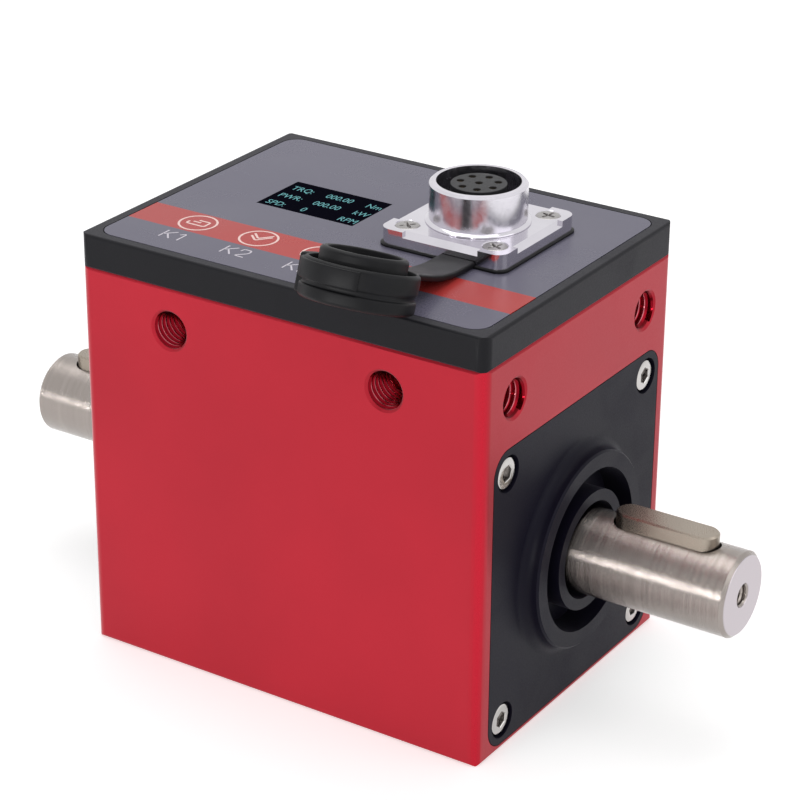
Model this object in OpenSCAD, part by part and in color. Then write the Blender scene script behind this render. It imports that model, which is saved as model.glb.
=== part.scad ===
// Rotary torque sensor: a square red housing with a keyed shaft running through it,
// black end covers, and a lid with a display, touch keys and a round flanged connector.
// The shaft runs along X. The origin is the middle of the base, on the mounting surface.

/* [Housing] */
// Length of the housing along the shaft
body_l = 96.5; // [90:0.5:130]
// Width of the housing across the shaft
body_w = 74; // [72:0.5:100]
// Height of the housing without its lid
body_h = 86; // [84:0.5:110]
// Radius of the four upright edges
body_corner_r = 2.6; // [1:0.1:4]
// Radius of the edges round the base
base_edge_r = 1.2; // [0.5:0.1:1.2]
// Bevel at the top edge, against the lid
body_top_bevel = 0.4; // [0.2:0.1:1]
// Height of the shaft axis over the base
axis_z = 34.2; // [34.2:0.1:36]
// Radius of the through bore round the rotor
chamber_r = 18.5; // [18.2:0.1:19]
// Depth of the electronics pocket from the top
pocket_depth = 24; // [22:0.5:26]
// Wall between the electronics pocket and each end of the housing
pocket_end_wall = 12.75; // [12.25:0.25:13.25]
// Wall between the electronics pocket and each side of the housing
pocket_side_wall = 13.5; // [13:0.25:14]
// Corner radius of the electronics pocket
pocket_corner_r = 3; // [2:0.5:3]

/* [Tapped holes] */
// Radius of the side mounting holes
side_hole_r = 4; // [3:0.1:4]
// Spacing of the two side holes on each face
side_hole_pitch = 51.5; // [46:0.5:54]
// Height of the side holes over the base
side_hole_z = 77; // [74:0.5:79]
// Depth of the full side hole
side_hole_depth = 9.5; // [6:0.5:10]
// Width of the bevel at a hole's mouth
hole_bevel = 0.5; // [0.2:0.1:1]
// Radius of the base mounting holes
base_hole_r = 2.5; // [2:0.1:3]
// Depth of the base mounting holes
base_hole_depth = 8; // [6:0.5:9]
// Spacing of the base holes along the shaft
base_hole_pitch_x = 44; // [40:1:50]
// Spacing of the base holes across the shaft
base_hole_pitch_y = 50; // [46:1:54]

/* [Lid and overlay] */
// Height of the lid
lid_h = 7.2; // [6:0.1:10]
// Rounding of the lid's top edge
lid_edge_r = 0.7; // [0.3:0.1:1]
// Width of the rim round the overlay
overlay_margin = 2.4; // [1.5:0.1:4]
// Thickness of the overlay film
overlay_t = 0.5; // [0.3:0.1:0.8]
// Corner radius of the overlay film
overlay_corner_r = 4; // [2:0.5:8]
// Gap between the overlay and its rim
overlay_gap = 0.25; // [0.1:0.05:0.5]
// Distance of a lid screw from the lid's edge
lid_screw_inset = 4.6; // [4.4:0.1:6]
// Shank radius of a lid screw
lid_screw_r = 1.5; // [1:0.1:1.6]
// Length of a lid screw
lid_screw_l = 12; // [10:0.5:16]

/* [Display and keys] */
// Distance of the display's centre from the left end
display_end = 31.75; // [30:0.25:34]
// Centre of the display across the shaft
display_y = 4.5; // [2:0.5:6]
// Length of the display window
window_l = 24; // [20:0.5:26]
// Width of the display window
window_w = 15; // [12:0.5:16]
// Thickness of the display panel
panel_t = 2; // [1:0.1:3]
// Number of touch keys
key_count = 3; // [3]
// Distance of the first key from the left end
key_end = 16.85; // [16.25:0.05:18]
// Distance of the row of keys from the pocket's front wall
key_inset = 4.3; // [4:0.1:5.5]
// Spacing of the keys
key_pitch = 15.2; // [14:0.1:16]
// Radius of a key plunger
plunger_r = 2.4; // [1.5:0.1:2.8]
// How far a plunger's collar stands out round it
plunger_lip = 0.8; // [0.5:0.1:1]
// Thickness of a plunger's collar
plunger_collar_t = 1; // [0.8:0.1:1.2]
// Travel of a key plunger
key_travel = 0.25; // [0.2:0.05:0.4]
// Gap between a pressed plunger and its switch
key_play = 0.05; // [0.03:0.01:0.1]
// Width of a switch body
switch_w = 6; // [5:0.1:6.2]
// Height of a switch body
switch_h = 3.4; // [3:0.1:4]

/* [Boards] */
// Thickness of a circuit board
board_t = 1.6; // [1:0.1:2]
// Gap between the main board and the pocket's end walls
board_end_gap = 5.5; // [4:0.5:7]
// Gap between the main board and the pocket's side walls
board_side_gap = 3.5; // [2.5:0.5:4.5]
// Edge of the key board beyond its switches
key_board_edge = 0.2; // [0.1:0.05:0.4]
// Height of the pillars under the main board
pillar_h = 4; // [3:0.5:5]
// Radius of a pillar
pillar_r = 2.6; // [2:0.1:3]
// Distance of a pillar from the board's edge
pillar_inset = 4; // [3.5:0.5:6]
// Radius of a board screw
board_screw_r = 1.2; // [1:0.1:1.4]
// Head radius of a board screw
board_head_r = 2.2; // [1.8:0.1:2.4]
// Side of the processor chip
chip_w = 10; // [8:0.5:12]
// Side of the signal chip
small_chip_w = 8; // [6:0.5:9]
// Radius of a capacitor can
can_r = 2.9; // [2:0.1:3.2]
// Height of a capacitor can
can_h = 3.4; // [2.5:0.1:4]

/* [Connector] */
// Distance of the connector's centre from the right end
conn_end = 28.35; // [27:0.05:30]
// Centre of the connector across the shaft
conn_y = 6.1; // [4:0.1:7]
// Side of the square flange
flange_w = 29; // [28:0.5:30]
// Thickness of the flange
flange_t = 3.2; // [2.6:0.1:4]
// Corner radius of the flange
flange_corner_r = 2.6; // [1:0.1:3]
// Depth of the bevel along the middle of each flange edge
flange_bevel = 1.2; // [0.6:0.1:1.6]
// Length of the bevel along each flange edge
flange_bevel_l = 17.5; // [14:0.5:18.5]
// Spacing of the flange screws
flange_screw_pitch = 20.5; // [20:0.1:21]
// Outer radius of the barrel
barrel_r = 10; // [9.6:0.1:10.4]
// Height of the barrel over the flange
barrel_h = 8.4; // [6:0.1:12]
// Wall of the barrel
barrel_wall = 1.4; // [1:0.1:1.8]
// Radius of the step at the barrel's foot
foot_ring_r = 10.3; // [10.1:0.1:11]
// Radius of the tail behind the flange
tail_r = 8.8; // [8:0.1:9]
// Length of the tail behind the flange
tail_l = 10; // [9:0.5:12]
// Radius of the socket insert
insert_r = 5.7; // [5:0.1:6.2]
// Depth of the insert's face below the rim
insert_drop = 0.5; // [0.2:0.1:1.5]
// Thickness of the insert's foot
insert_foot_t = 3; // [2:0.5:4]
// Radius of the ring of contacts
contact_ring_r = 3.9; // [3.4:0.1:4.2]
// Number of contacts in the ring
contact_count = 7; // [5:1:7]
// Radius of a contact
contact_r = 0.75; // [0.5:0.05:0.8]
// Bore radius of a contact
contact_bore_r = 0.45; // [0.3:0.05:0.5]
// Shank radius of a flange screw
flange_screw_r = 1.2; // [1:0.1:1.3]
// Head radius of a flange screw
flange_screw_head_r = 2.6; // [2.2:0.1:2.8]
// Length of a flange screw
flange_screw_l = 8.5; // [7:0.5:9]

/* [Dust cap] */
// Thickness of the rubber gasket under the flange
gasket_t = 0.6; // [0.4:0.1:1]
// How far the gasket stands out round the flange
gasket_lip = 0.4; // [0.3:0.1:1.2]
// How far the cap hangs to the right of the connector's centre
cap_shift = 4.3; // [-2:0.1:5]
// Distance of the cap's floor centre in front of the lid
cap_out = 7.5; // [6:0.1:9]
// Gap between the cap's lowest edge and the lid's top
cap_rest = 0.3; // [0.1:0.1:1]
// Lean of the cap towards the connector, degrees
cap_lean = 20; // [16:1:24]
// Thickness of the cap's floor
cap_floor_t = 2; // [1.5:0.1:2.4]
// Wall of the cap's skirt
cap_wall = 1; // [0.9:0.1:1.6]
// Height of the cap's skirt
cap_h = 7.7; // [7:0.1:10]
// How far the plug ring stands above the skirt
plug_rise = 2.4; // [1:0.1:4]
// Wall of the plug ring
plug_wall = 1.4; // [1:0.1:1.8]
// Depth of the finger groove round the skirt
finger_groove = 0.5; // [0.3:0.1:0.6]
// Width of the pull tab
tab_w = 6; // [4:0.5:8]
// How far the pull tab stands out
tab_out = 1.2; // [0.8:0.1:2]
// Width of the strap
strap_w = 8; // [6:0.5:10]
// Thickness of the strap
strap_t = 1.3; // [1:0.1:1.6]
// How deep the strap's end goes into the skirt
strap_sink = 0.87; // [0.76:0.01:0.88]

/* [End covers] */
// Side of the square cover plate
cover_w = 65.5; // [63:0.5:65.5]
// Thickness of the cover plate
cover_t = 6; // [5.5:0.1:7]
// Corner radius of the cover plate
cover_corner_r = 5; // [3:0.5:7]
// Gap between the plate and its pocket
cover_gap = 0.2; // [0.1:0.05:0.2]
// Outer radius of the raised collar
collar_r = 21; // [20:0.1:21.5]
// Width of the collar's front face
collar_wall = 3.6; // [2:0.1:4]
// Height of the collar over the plate
collar_h = 3.6; // [3.2:0.1:5]
// Radius of the cove between the collar and the plate
cove_r = 2.4; // [1:0.1:2.6]
// Bevel at the collar's edges
collar_bevel = 0.4; // [0.2:0.1:0.8]
// Depth of the ring groove below the plate's face
groove_depth = 2.6; // [1:0.1:3.5]
// Outer radius of the hub inside the groove
hub_r = 12.8; // [12.2:0.1:13.4]
// Gap between the hub's bore and the shaft
hub_gap = 1.4; // [1.2:0.1:1.6]
// Distance of a cover screw from the plate's edges
cover_screw_inset = 5.25; // [5:0.25:6.5]
// Shank radius of a cover screw
cover_screw_r = 2; // [1.5:0.1:2.2]
// Head radius of a cover screw
cover_head_r = 3.4; // [3:0.1:3.6]
// Head height of a cover screw
cover_head_h = 4; // [3:0.1:4.2]
// Length of a cover screw's shank
cover_screw_l = 12; // [8:0.5:14]
// Width across flats of the hex socket
hex_w = 3; // [2:0.1:3.2]
// Depth of the hex socket
hex_depth = 2.2; // [1.5:0.1:2.6]

/* [Shaft] */
// Radius of the shaft ends
shaft_r = 9; // [8.6:0.1:9.2]
// Length of each shaft end outside the housing
shaft_out = 38; // [36:0.5:45]
// Radius of the bearing seats
seat_r = 10; // [9.8:0.1:10.2]
// Radius of the shoulders behind the bearings
shoulder_r = 12.2; // [11.5:0.1:12.4]
// Radius of the thin measuring section
gauge_r = 7; // [5:0.1:8]
// Length of the thin measuring section
gauge_l = 22; // [16:0.5:24]
// Bevel at the shaft ends
shaft_bevel = 0.8; // [0.4:0.1:1.2]
// Radius of the centre hole in each end
centre_hole_r = 2.1; // [1.5:0.1:3]
// Depth of the centre hole
centre_hole_depth = 12; // [8:0.5:20]

/* [Shaft keys] */
// Width of a key
shaft_key_w = 6; // [4:0.1:6.5]
// Height of a key
shaft_key_h = 6; // [5:0.1:6.5]
// Length of a key
shaft_key_l = 22.5; // [16:0.5:26]
// Depth of the keyway
keyway_depth = 3.4; // [3:0.1:4]
// Distance of the keyway from the shaft end
keyway_end = 6; // [4:0.5:9]
// Gap each side of the key in its keyway
keyway_gap = 0.1; // [0.05:0.05:0.2]
// Gap at each end of the key in its keyway
keyway_end_gap = 0.5; // [0.1:0.1:0.8]

/* [Bearings] */
// Outer radius of a bearing
bearing_r = 21; // [20.6:0.1:21.4]
// Width of a bearing
bearing_w = 12; // [11:0.5:13]
// Radius of a ball
ball_r = 3.2; // [3:0.05:3.3]
// Number of balls
ball_count = 9; // [7:1:9]
// Height of a ring's shoulder over its raceway
race_h = 1.1; // [0.8:0.1:1.3]
// Running gap between a ball and its raceway
race_gap = 0.05; // [0.03:0.01:0.1]
// Wall of the cage across the shaft
cage_wall = 1.2; // [0.8:0.1:1.4]
// Width of the cage
cage_w = 8.4; // [7.6:0.1:9]
// Gap between a ball and its cage pocket
cage_gap = 0.15; // [0.1:0.05:0.25]

/* [Measuring parts] */
// Place of the transformer coils along the shaft
coil_x = 19; // [18:0.5:20]
// Width of a coil former
coil_w = 8; // [6:0.5:8]
// Cheek thickness of a coil former
coil_cheek = 1; // [0.8:0.1:1.5]
// Outer radius of the turning coil former
rotor_former_r = 15.2; // [14.8:0.1:15.4]
// Inner radius of the fixed coil former
stator_former_r = 15.8; // [15.7:0.1:16]
// Thickness of a former's web under its winding
coil_web = 0.8; // [0.6:0.1:1]
// Place of the speed disc along the shaft
disc_x = -19; // [-20:0.5:-18]
// Radius of the speed disc
disc_r = 16.6; // [16:0.1:17]
// Thickness of the speed disc
disc_t = 1; // [0.6:0.1:1.4]
// Number of slots in the speed disc
disc_slots = 24; // [12:2:30]
// Depth of a slot in the speed disc
disc_slot_l = 2; // [1.5:0.1:2.4]
// How far the pickup reaches below the disc's slots
pickup_reach = 1.2; // [0.8:0.1:1.6]
// Gap each side of the disc in its pickup
pickup_gap = 0.6; // [0.4:0.1:1]
// Length of the pickup body along the shaft
pickup_l = 10; // [8:0.5:12]
// Width of the pickup body
pickup_w = 9; // [7:0.5:10]
// Thickness of the pickup's flange
pickup_flange_t = 2; // [1.5:0.1:3]
// Thickness of a strain gauge
gauge_t = 0.25; // [0.15:0.05:0.4]
// Side of a strain gauge
gauge_w = 6; // [4:0.5:8]

/* [Fits] */
// Radial gap of pieces that are pushed together
fit = 0.03; // [0.02:0.01:0.05]
// Radial gap round a fixed screw in its hole
screw_gap = 0.1; // [0.05:0.05:0.2]
// Radial gap round pieces that slide
slide_gap = 0.3; // [0.2:0.05:0.4]

/* [Hidden] */
$fn = 64;
// Overlap of cutters past the faces they open
over = 0.5;
top_z = body_h + lid_h;
body_x = body_l / 2;
body_y = body_w / 2;
pocket_l = body_l - 2 * pocket_end_wall;
pocket_w = body_w - 2 * pocket_side_wall;
pocket_floor_z = body_h - pocket_depth;
display_x = display_end - body_x;
key_x = key_end - body_x;
key_y = key_inset - pocket_w / 2;
conn_x = body_x - conn_end;
cap_x = conn_x + cap_shift;
board_l = pocket_l - 2 * board_end_gap;
board_w = pocket_w - 2 * board_side_gap;
overlay_z = top_z - overlay_t;
recess_l = body_l - 2 * overlay_margin;
recess_w = body_w - 2 * overlay_margin;
lid_screw_x = body_x - lid_screw_inset;
lid_screw_y = body_y - lid_screw_inset;
lid_head_r = 2 * lid_screw_r;
lid_head_h = lid_screw_r;
cover_x = body_x - cover_t;
cover_pocket_w = cover_w + 2 * cover_gap;
cover_screw_pitch = cover_w - 2 * cover_screw_inset;
hub_bore_r = shaft_r + hub_gap;
shaft_end_x = body_x + shaft_out;
keyway_x = shaft_end_x - keyway_end - shaft_key_l / 2;
key_foot = shaft_r - keyway_depth;
bearing_in_x = cover_x - bearing_w;
race_r = (bearing_r + seat_r) / 2;
flange_z = top_z + gasket_t;
flange_top_z = flange_z + flange_t;
rim_z = flange_top_z + barrel_h;
bore_r = barrel_r - barrel_wall;
insert_top_z = rim_z - insert_drop;
insert_foot_z = flange_z;
insert_seat_r = bore_r - barrel_wall;
cap_bore_r = barrel_r + slide_gap / 2;
cap_r = cap_bore_r + cap_wall;
plug_r = bore_r - slide_gap / 2;
cap_y = -body_y - cap_out;
cap_z = top_z + cap_rest + (cap_r - finger_groove) * sin(cap_lean);
panel_z = overlay_z - panel_t;
plunger_top_z = overlay_z - slide_gap;
plunger_collar_r = plunger_r + plunger_lip;
plunger_foot_z = body_h - slide_gap - plunger_collar_t;
switch_z = plunger_foot_z - key_travel - key_play - switch_h;
key_board_z = switch_z - board_t;
key_board_l = (key_count - 1) * key_pitch + switch_w;
key_board_w = switch_w + 2 * key_board_edge;
main_board_z = pocket_floor_z + pillar_h;
pickup_foot_z = axis_z + disc_r - disc_slot_l - pickup_reach;

// Rectangle with round corners, centred
module round_rect(l, w, r) {
    square([l - 2 * r, w], center = true);
    square([l, w - 2 * r], center = true);
    for (x = [-1, 1], y = [-1, 1])
        translate([x * (l / 2 - r), y * (w / 2 - r)]) circle(r);
}

// Upright outline of a wall: round lower corners and bevelled upper corners
module wall_outline(w, h, round_r, bevel) {
    translate([-w / 2, round_r]) square([w, h - round_r - bevel]);
    translate([-w / 2 + round_r, 0]) square([w - 2 * round_r, 2 * round_r]);
    for (s = [-1, 1])
        translate([s * (w / 2 - round_r), round_r]) circle(round_r);
    polygon([[-w / 2, h - bevel], [w / 2, h - bevel], [w / 2 - bevel, h], [-w / 2 + bevel, h]]);
}

// Block with round upright edges, round lower edges and bevelled upper edges
module edged_block(l, w, h, upright_r, round_r, bevel) {
    intersection() {
        linear_extrude(h) round_rect(l, w, upright_r);
        rotate([90, 0, 90]) translate([0, 0, -l / 2])
            linear_extrude(l) wall_outline(w, h, round_r, bevel);
        rotate([90, 0, 0]) translate([0, 0, -w / 2])
            linear_extrude(w) wall_outline(l, h, round_r, bevel);
    }
}

// Children turned so that their Z runs along the shaft, from the shaft axis
module along_shaft() {
    translate([0, 0, axis_z]) rotate([0, 90, 0]) children();
}

// Ring about Z between two heights
module ring(outer, inner, z0, z1) {
    translate([0, 0, z0]) difference() {
        cylinder(r = outer, h = z1 - z0);
        translate([0, 0, -over]) cylinder(r = inner, h = z1 - z0 + 2 * over);
    }
}

// Children copied to the four corners of a rectangle
module at_corners(l, w) {
    for (x = [-1, 1], y = [-1, 1])
        translate([x * l / 2, y * w / 2, 0]) children();
}

// Cutter for a tapped hole that goes down from Z = 0, with a bevelled mouth and a drill point
module tapped_hole(r, depth) {
    translate([0, 0, -depth]) cylinder(r = r, h = depth + over);
    translate([0, 0, -depth - r / 2]) cylinder(r1 = 0, r2 = r, h = r / 2);
    translate([0, 0, -hole_bevel]) cylinder(r1 = r, r2 = r + 2 * hole_bevel, h = 2 * hole_bevel);
}

// Two side holes of one face, for a face that looks along +X at distance d
module side_holes(d) {
    for (y = [-1, 1])
        translate([d, y * side_hole_pitch / 2, side_hole_z]) rotate([0, 90, 0])
            tapped_hole(side_hole_r, side_hole_depth);
}

// Places of the four cover screws, with Z along the shaft and Z = 0 at the cover's face
module at_cover_screws() {
    translate([body_x, 0, axis_z]) rotate([0, 90, 0])
        at_corners(cover_screw_pitch, cover_screw_pitch) children();
}

module housing() {
    color("firebrick") difference() {
        edged_block(body_l, body_w, body_h, body_corner_r, base_edge_r, body_top_bevel);
        along_shaft() cylinder(r = chamber_r, h = body_l, center = true);
        for (side = [0, 1]) mirror([side, 0, 0]) {
            translate([bearing_in_x, 0, axis_z]) rotate([0, 90, 0])
                cylinder(r = bearing_r + fit, h = body_l);
            translate([cover_x, 0, axis_z]) rotate([90, 0, 90])
                linear_extrude(body_l) round_rect(cover_pocket_w, cover_pocket_w, cover_corner_r + cover_gap);
            at_cover_screws() translate([0, 0, -cover_head_h - cover_screw_l - over])
                cylinder(r = cover_screw_r + screw_gap, h = cover_screw_l);
            side_holes(body_x);
        }
        for (turn = [90, 270]) rotate([0, 0, turn]) side_holes(body_y);
        translate([0, 0, pocket_floor_z]) linear_extrude(body_h)
            round_rect(pocket_l, pocket_w, pocket_corner_r);
        translate([disc_x - pickup_l / 2 - cover_gap, -pickup_w / 2 - cover_gap, axis_z])
            cube([pickup_l + 2 * cover_gap, pickup_w + 2 * cover_gap, body_h]);
        at_corners(2 * lid_screw_x, 2 * lid_screw_y)
            translate([0, 0, top_z - overlay_t - lid_screw_l - over])
                cylinder(r = lid_screw_r + screw_gap, h = lid_screw_l);
        at_corners(base_hole_pitch_x, base_hole_pitch_y)
            rotate([180, 0, 0]) tapped_hole(base_hole_r, base_hole_depth);
        translate([0, 0, pocket_floor_z]) at_board_pillars()
            translate([0, 0, -pillar_h]) cylinder(r = board_screw_r + screw_gap, h = 2 * pillar_h);
    }
    color("firebrick") translate([0, 0, pocket_floor_z]) at_board_pillars()
        ring(pillar_r, board_screw_r + screw_gap, 0, pillar_h);
}

// Places of the pillars that carry the main board
module at_board_pillars() {
    at_corners(board_l - 2 * pillar_inset, board_w - 2 * pillar_inset) children();
}

// Places of the touch keys
module at_keys() {
    for (i = [0 : key_count - 1])
        translate([key_x + i * key_pitch, key_y, 0]) children();
}

module lid() {
    color("#2a2a2d") difference() {
        union() {
            translate([0, 0, top_z]) mirror([0, 0, 1])
                edged_block(body_l, body_w, lid_h, body_corner_r, lid_edge_r, body_top_bevel);
            for (x = [key_x + key_pitch / 2, key_x + key_pitch * (key_count - 1.5)])
                translate([x, key_y, key_board_z + board_t])
                    cylinder(r = switch_w / 4, h = body_h + over - key_board_z - board_t);
        }
        translate([0, 0, overlay_z]) linear_extrude(lid_h) round_rect(recess_l, recess_w, overlay_corner_r);
        translate([display_x - window_l / 2 - cover_gap, display_y - window_w / 2 - cover_gap, panel_z])
            cube([window_l + 2 * cover_gap, window_w + 2 * cover_gap, lid_h]);
        translate([display_x - window_l / 4, display_y - window_w / 4, body_h - over])
            cube([window_l / 2, window_w / 2, lid_h]);
        at_keys() translate([0, 0, body_h - over]) cylinder(r = plunger_r + slide_gap, h = lid_h);
        translate([conn_x, conn_y, body_h - over]) cylinder(r = tail_r + slide_gap, h = 2 * lid_h);
        at_flange_screws() translate([0, 0, flange_top_z - flange_screw_l - over])
            cylinder(r = flange_screw_r + screw_gap, h = flange_screw_l);
        at_corners(2 * lid_screw_x, 2 * lid_screw_y) {
            translate([0, 0, body_h - over]) cylinder(r = lid_screw_r + slide_gap, h = lid_h);
            translate([0, 0, overlay_z - lid_head_h])
                cylinder(r1 = lid_screw_r + slide_gap, r2 = lid_head_r + slide_gap, h = lid_head_h);
        }
    }
}

// Countersunk screw with its head's top at Z = 0 and a cross recess
module countersunk_screw(r, head_r, head_h, length) {
    cross_l = head_r;
    cross_w = head_r / 4;
    cross_depth = 2 * head_h / 3;
    difference() {
        union() {
            translate([0, 0, -length]) cylinder(r = r, h = length - head_h / 2);
            translate([0, 0, -head_h]) cylinder(r1 = r, r2 = head_r, h = head_h);
        }
        for (turn = [0, 90]) rotate([0, 0, turn]) translate([0, 0, -cross_depth])
            linear_extrude(head_h) square([cross_l, cross_w], center = true);
    }
}

module lid_screws() {
    color("silver") at_corners(2 * lid_screw_x, 2 * lid_screw_y)
        translate([0, 0, overlay_z - slide_gap / 2])
            countersunk_screw(lid_screw_r, lid_head_r, lid_head_h, lid_screw_l - slide_gap);
}

module overlay() {
    color("#7c7988") translate([0, 0, overlay_z]) linear_extrude(overlay_t) difference() {
        round_rect(recess_l - 2 * overlay_gap, recess_w - 2 * overlay_gap, overlay_corner_r - overlay_gap);
        translate([display_x, display_y]) square([window_l, window_w], center = true);
        translate([conn_x, conn_y]) circle(tail_r + slide_gap);
        at_flange_screws() circle(flange_screw_r + slide_gap);
    }
}

module display_panel() {
    color("#08080c") translate([display_x, display_y, panel_z]) linear_extrude(panel_t + overlay_t)
        square([window_l - 2 * fit, window_w - 2 * fit], center = true);
}

module main_board() {
    color("darkgreen") translate([0, 0, main_board_z]) linear_extrude(board_t) difference() {
        round_rect(board_l, board_w, pillar_inset / 2);
        at_board_pillars() circle(board_screw_r + screw_gap);
    }
}

module board_chips() {
    color("#202024") translate([0, 0, main_board_z + board_t]) {
        translate([-board_l / 5, -board_w / 4, 0]) linear_extrude(board_t) square(chip_w);
        translate([-board_l / 3, board_w / 8, 0]) linear_extrude(board_t) square(small_chip_w);
        for (i = [0 : 2])
            translate([board_l / 12 + i * board_l / 8, -board_w / 3, 0]) cylinder(r = can_r, h = can_h);
    }
}

module board_screws() {
    color("silver") translate([0, 0, main_board_z + board_t]) at_board_pillars() {
        translate([0, 0, -board_t - pillar_h]) cylinder(r = board_screw_r, h = pillar_h + board_t);
        difference() {
            cylinder(r = board_head_r, h = board_t);
            for (turn = [0, 90]) rotate([0, 0, turn])
                translate([-board_screw_r, -board_screw_r / 4, board_t / 2])
                    cube([2 * board_screw_r, board_screw_r / 2, board_t]);
        }
    }
}

module key_board() {
    color("darkgreen") translate([key_x - switch_w / 2, key_y - key_board_w / 2, key_board_z])
        cube([key_board_l, key_board_w, board_t]);
}

module key_switches() {
    color("#303036") at_keys() translate([-switch_w / 2, -switch_w / 2, switch_z])
        cube([switch_w, switch_w, switch_h]);
}

// Stepped plunger between one switch and the overlay
module key_plunger(i) {
    color("whitesmoke") translate([key_x + i * key_pitch, key_y, 0]) {
        translate([0, 0, plunger_foot_z]) cylinder(r = plunger_collar_r, h = plunger_collar_t);
        translate([0, 0, plunger_foot_z]) cylinder(r = plunger_r, h = plunger_top_z - plunger_foot_z);
    }
}

// Places of the four flange screws
module at_flange_screws() {
    translate([conn_x, conn_y]) at_corners(flange_screw_pitch, flange_screw_pitch) children();
}

module connector_shell() {
    color("gainsboro") translate([conn_x, conn_y, 0]) difference() {
        union() {
            translate([0, 0, flange_z]) linear_extrude(flange_t)
                round_rect(flange_w, flange_w, flange_corner_r);
            translate([0, 0, flange_top_z]) cylinder(r = foot_ring_r, h = hole_bevel);
            translate([0, 0, flange_z - tail_l]) cylinder(r = tail_r, h = tail_l + over);
            translate([0, 0, flange_top_z]) rotate_extrude() polygon([
                [0, 0], [barrel_r, 0], [barrel_r, barrel_h - hole_bevel],
                [barrel_r - hole_bevel, barrel_h], [0, barrel_h]]);
        }
        translate([0, 0, insert_foot_z]) cylinder(r = bore_r, h = rim_z);
        translate([0, 0, flange_z - tail_l - over]) cylinder(r = insert_seat_r, h = 2 * tail_l);
        at_corners(flange_screw_pitch, flange_screw_pitch) {
            translate([0, 0, flange_z - over]) cylinder(r = flange_screw_r + screw_gap, h = 2 * flange_t);
            translate([0, 0, flange_top_z - flange_screw_r])
                cylinder(r1 = flange_screw_r + screw_gap, r2 = flange_screw_head_r + screw_gap,
                    h = flange_screw_r);
        }
        for (turn = [0 : 90 : 270]) rotate([0, 0, turn])
            translate([flange_w / 2, 0, flange_top_z]) rotate([0, 45, 0])
                cube([flange_bevel * sqrt(2), flange_bevel_l, flange_bevel * sqrt(2)], center = true);
    }
}

// Places of the contacts: one in the middle and a ring round it
module at_contacts() {
    translate([conn_x, conn_y]) {
        children();
        for (i = [0 : contact_count - 1]) rotate([0, 0, 90 + i * 360 / contact_count])
            translate([contact_ring_r, 0]) children();
    }
}

module connector_insert() {
    color("#3a3a3e") difference() {
        translate([conn_x, conn_y, insert_foot_z]) {
            cylinder(r = bore_r - fit, h = insert_foot_t);
            cylinder(r = insert_r, h = insert_top_z - insert_foot_z);
        }
        at_contacts() translate([0, 0, insert_foot_z - over])
            cylinder(r = contact_r + fit, h = insert_top_z - insert_foot_z + 2 * over);
    }
}

module connector_contacts() {
    color("goldenrod") at_contacts() difference() {
        translate([0, 0, flange_z - tail_l])
            cylinder(r = contact_r, h = insert_top_z - flange_z + tail_l - insert_drop);
        translate([0, 0, insert_foot_z]) cylinder(r = contact_bore_r, h = rim_z);
    }
}

module connector_screws() {
    color("silver") at_flange_screws() translate([0, 0, flange_top_z])
        countersunk_screw(flange_screw_r, flange_screw_head_r, flange_screw_r, flange_screw_l - slide_gap);
}

// Point of a cubic curve through the strap's middle, at t from 0 to 1
function curve(a, b, c, d, t) =
    pow(1 - t, 3) * a + 3 * pow(1 - t, 2) * t * b + 3 * (1 - t) * t * t * c + pow(t, 3) * d;
// Slope of that curve
function slope(a, b, c, d, t) =
    3 * pow(1 - t, 2) * (b - a) + 6 * (1 - t) * t * (c - b) + 3 * t * t * (d - c);

// Flat strap from the gasket to the skirt, as an outline across the shaft
module strap_outline() {
    steps = 14;
    half = strap_t / 2;
    strap_root = [conn_y - flange_w / 2 - gasket_lip / 2, top_z + slide_gap / 2 + half];
    rim = [cap_r - strap_sink, cap_h - strap_t];
    strap_tip = [cap_y + rim[0] * cos(cap_lean) + rim[1] * sin(cap_lean),
        cap_z - rim[0] * sin(cap_lean) + rim[1] * cos(cap_lean)];
    reach = (strap_root[0] - strap_tip[0]) / 2;
    bend_a = strap_root - [reach, 0];
    bend_b = strap_tip + reach * [cos(cap_lean), -sin(cap_lean)];
    line = [for (i = [0 : steps]) curve(strap_root, bend_a, bend_b, strap_tip, i / steps)];
    side = [for (i = [0 : steps]) let (s = slope(strap_root, bend_a, bend_b, strap_tip, i / steps))
        half * [-s[1], s[0]] / norm(s)];
    polygon(concat([for (i = [0 : steps]) line[i] + side[i]],
        [for (i = [steps : -1 : 0]) line[i] - side[i]]));
}

module dust_cap() {
    groove_z = cap_floor_t + finger_groove;
    color("#1c1c1e") {
        translate([conn_x, conn_y, top_z]) linear_extrude(gasket_t) difference() {
            round_rect(flange_w + 2 * gasket_lip, flange_w + 2 * gasket_lip, flange_corner_r);
            circle(tail_r + slide_gap);
            at_corners(flange_screw_pitch, flange_screw_pitch) circle(flange_screw_r + slide_gap);
        }
        translate([cap_x - strap_w / 2, 0, 0]) rotate([90, 0, 90]) linear_extrude(strap_w) strap_outline();
        translate([cap_x, cap_y, cap_z]) rotate([-cap_lean, 0, 0]) {
            rotate_extrude() polygon([
                [0, 0], [cap_r - finger_groove, 0], [cap_r, finger_groove], [cap_r, groove_z],
                [cap_r - finger_groove, groove_z + finger_groove / 2],
                [cap_r - finger_groove, groove_z + 2 * finger_groove],
                [cap_r, groove_z + 3 * finger_groove], [cap_r, cap_h - finger_groove],
                [cap_r - finger_groove, cap_h], [cap_bore_r, cap_h], [cap_bore_r, cap_floor_t],
                [plug_r, cap_floor_t], [plug_r, cap_h + plug_rise - finger_groove],
                [plug_r - finger_groove, cap_h + plug_rise], [plug_r - plug_wall, cap_h + plug_rise],
                [plug_r - plug_wall, cap_floor_t], [0, cap_floor_t]]);
            translate([-cap_r - tab_out, -tab_w / 2, 0]) cube([tab_out + cap_wall - fit, tab_w, cap_h]);
        }
    }
}

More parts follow.
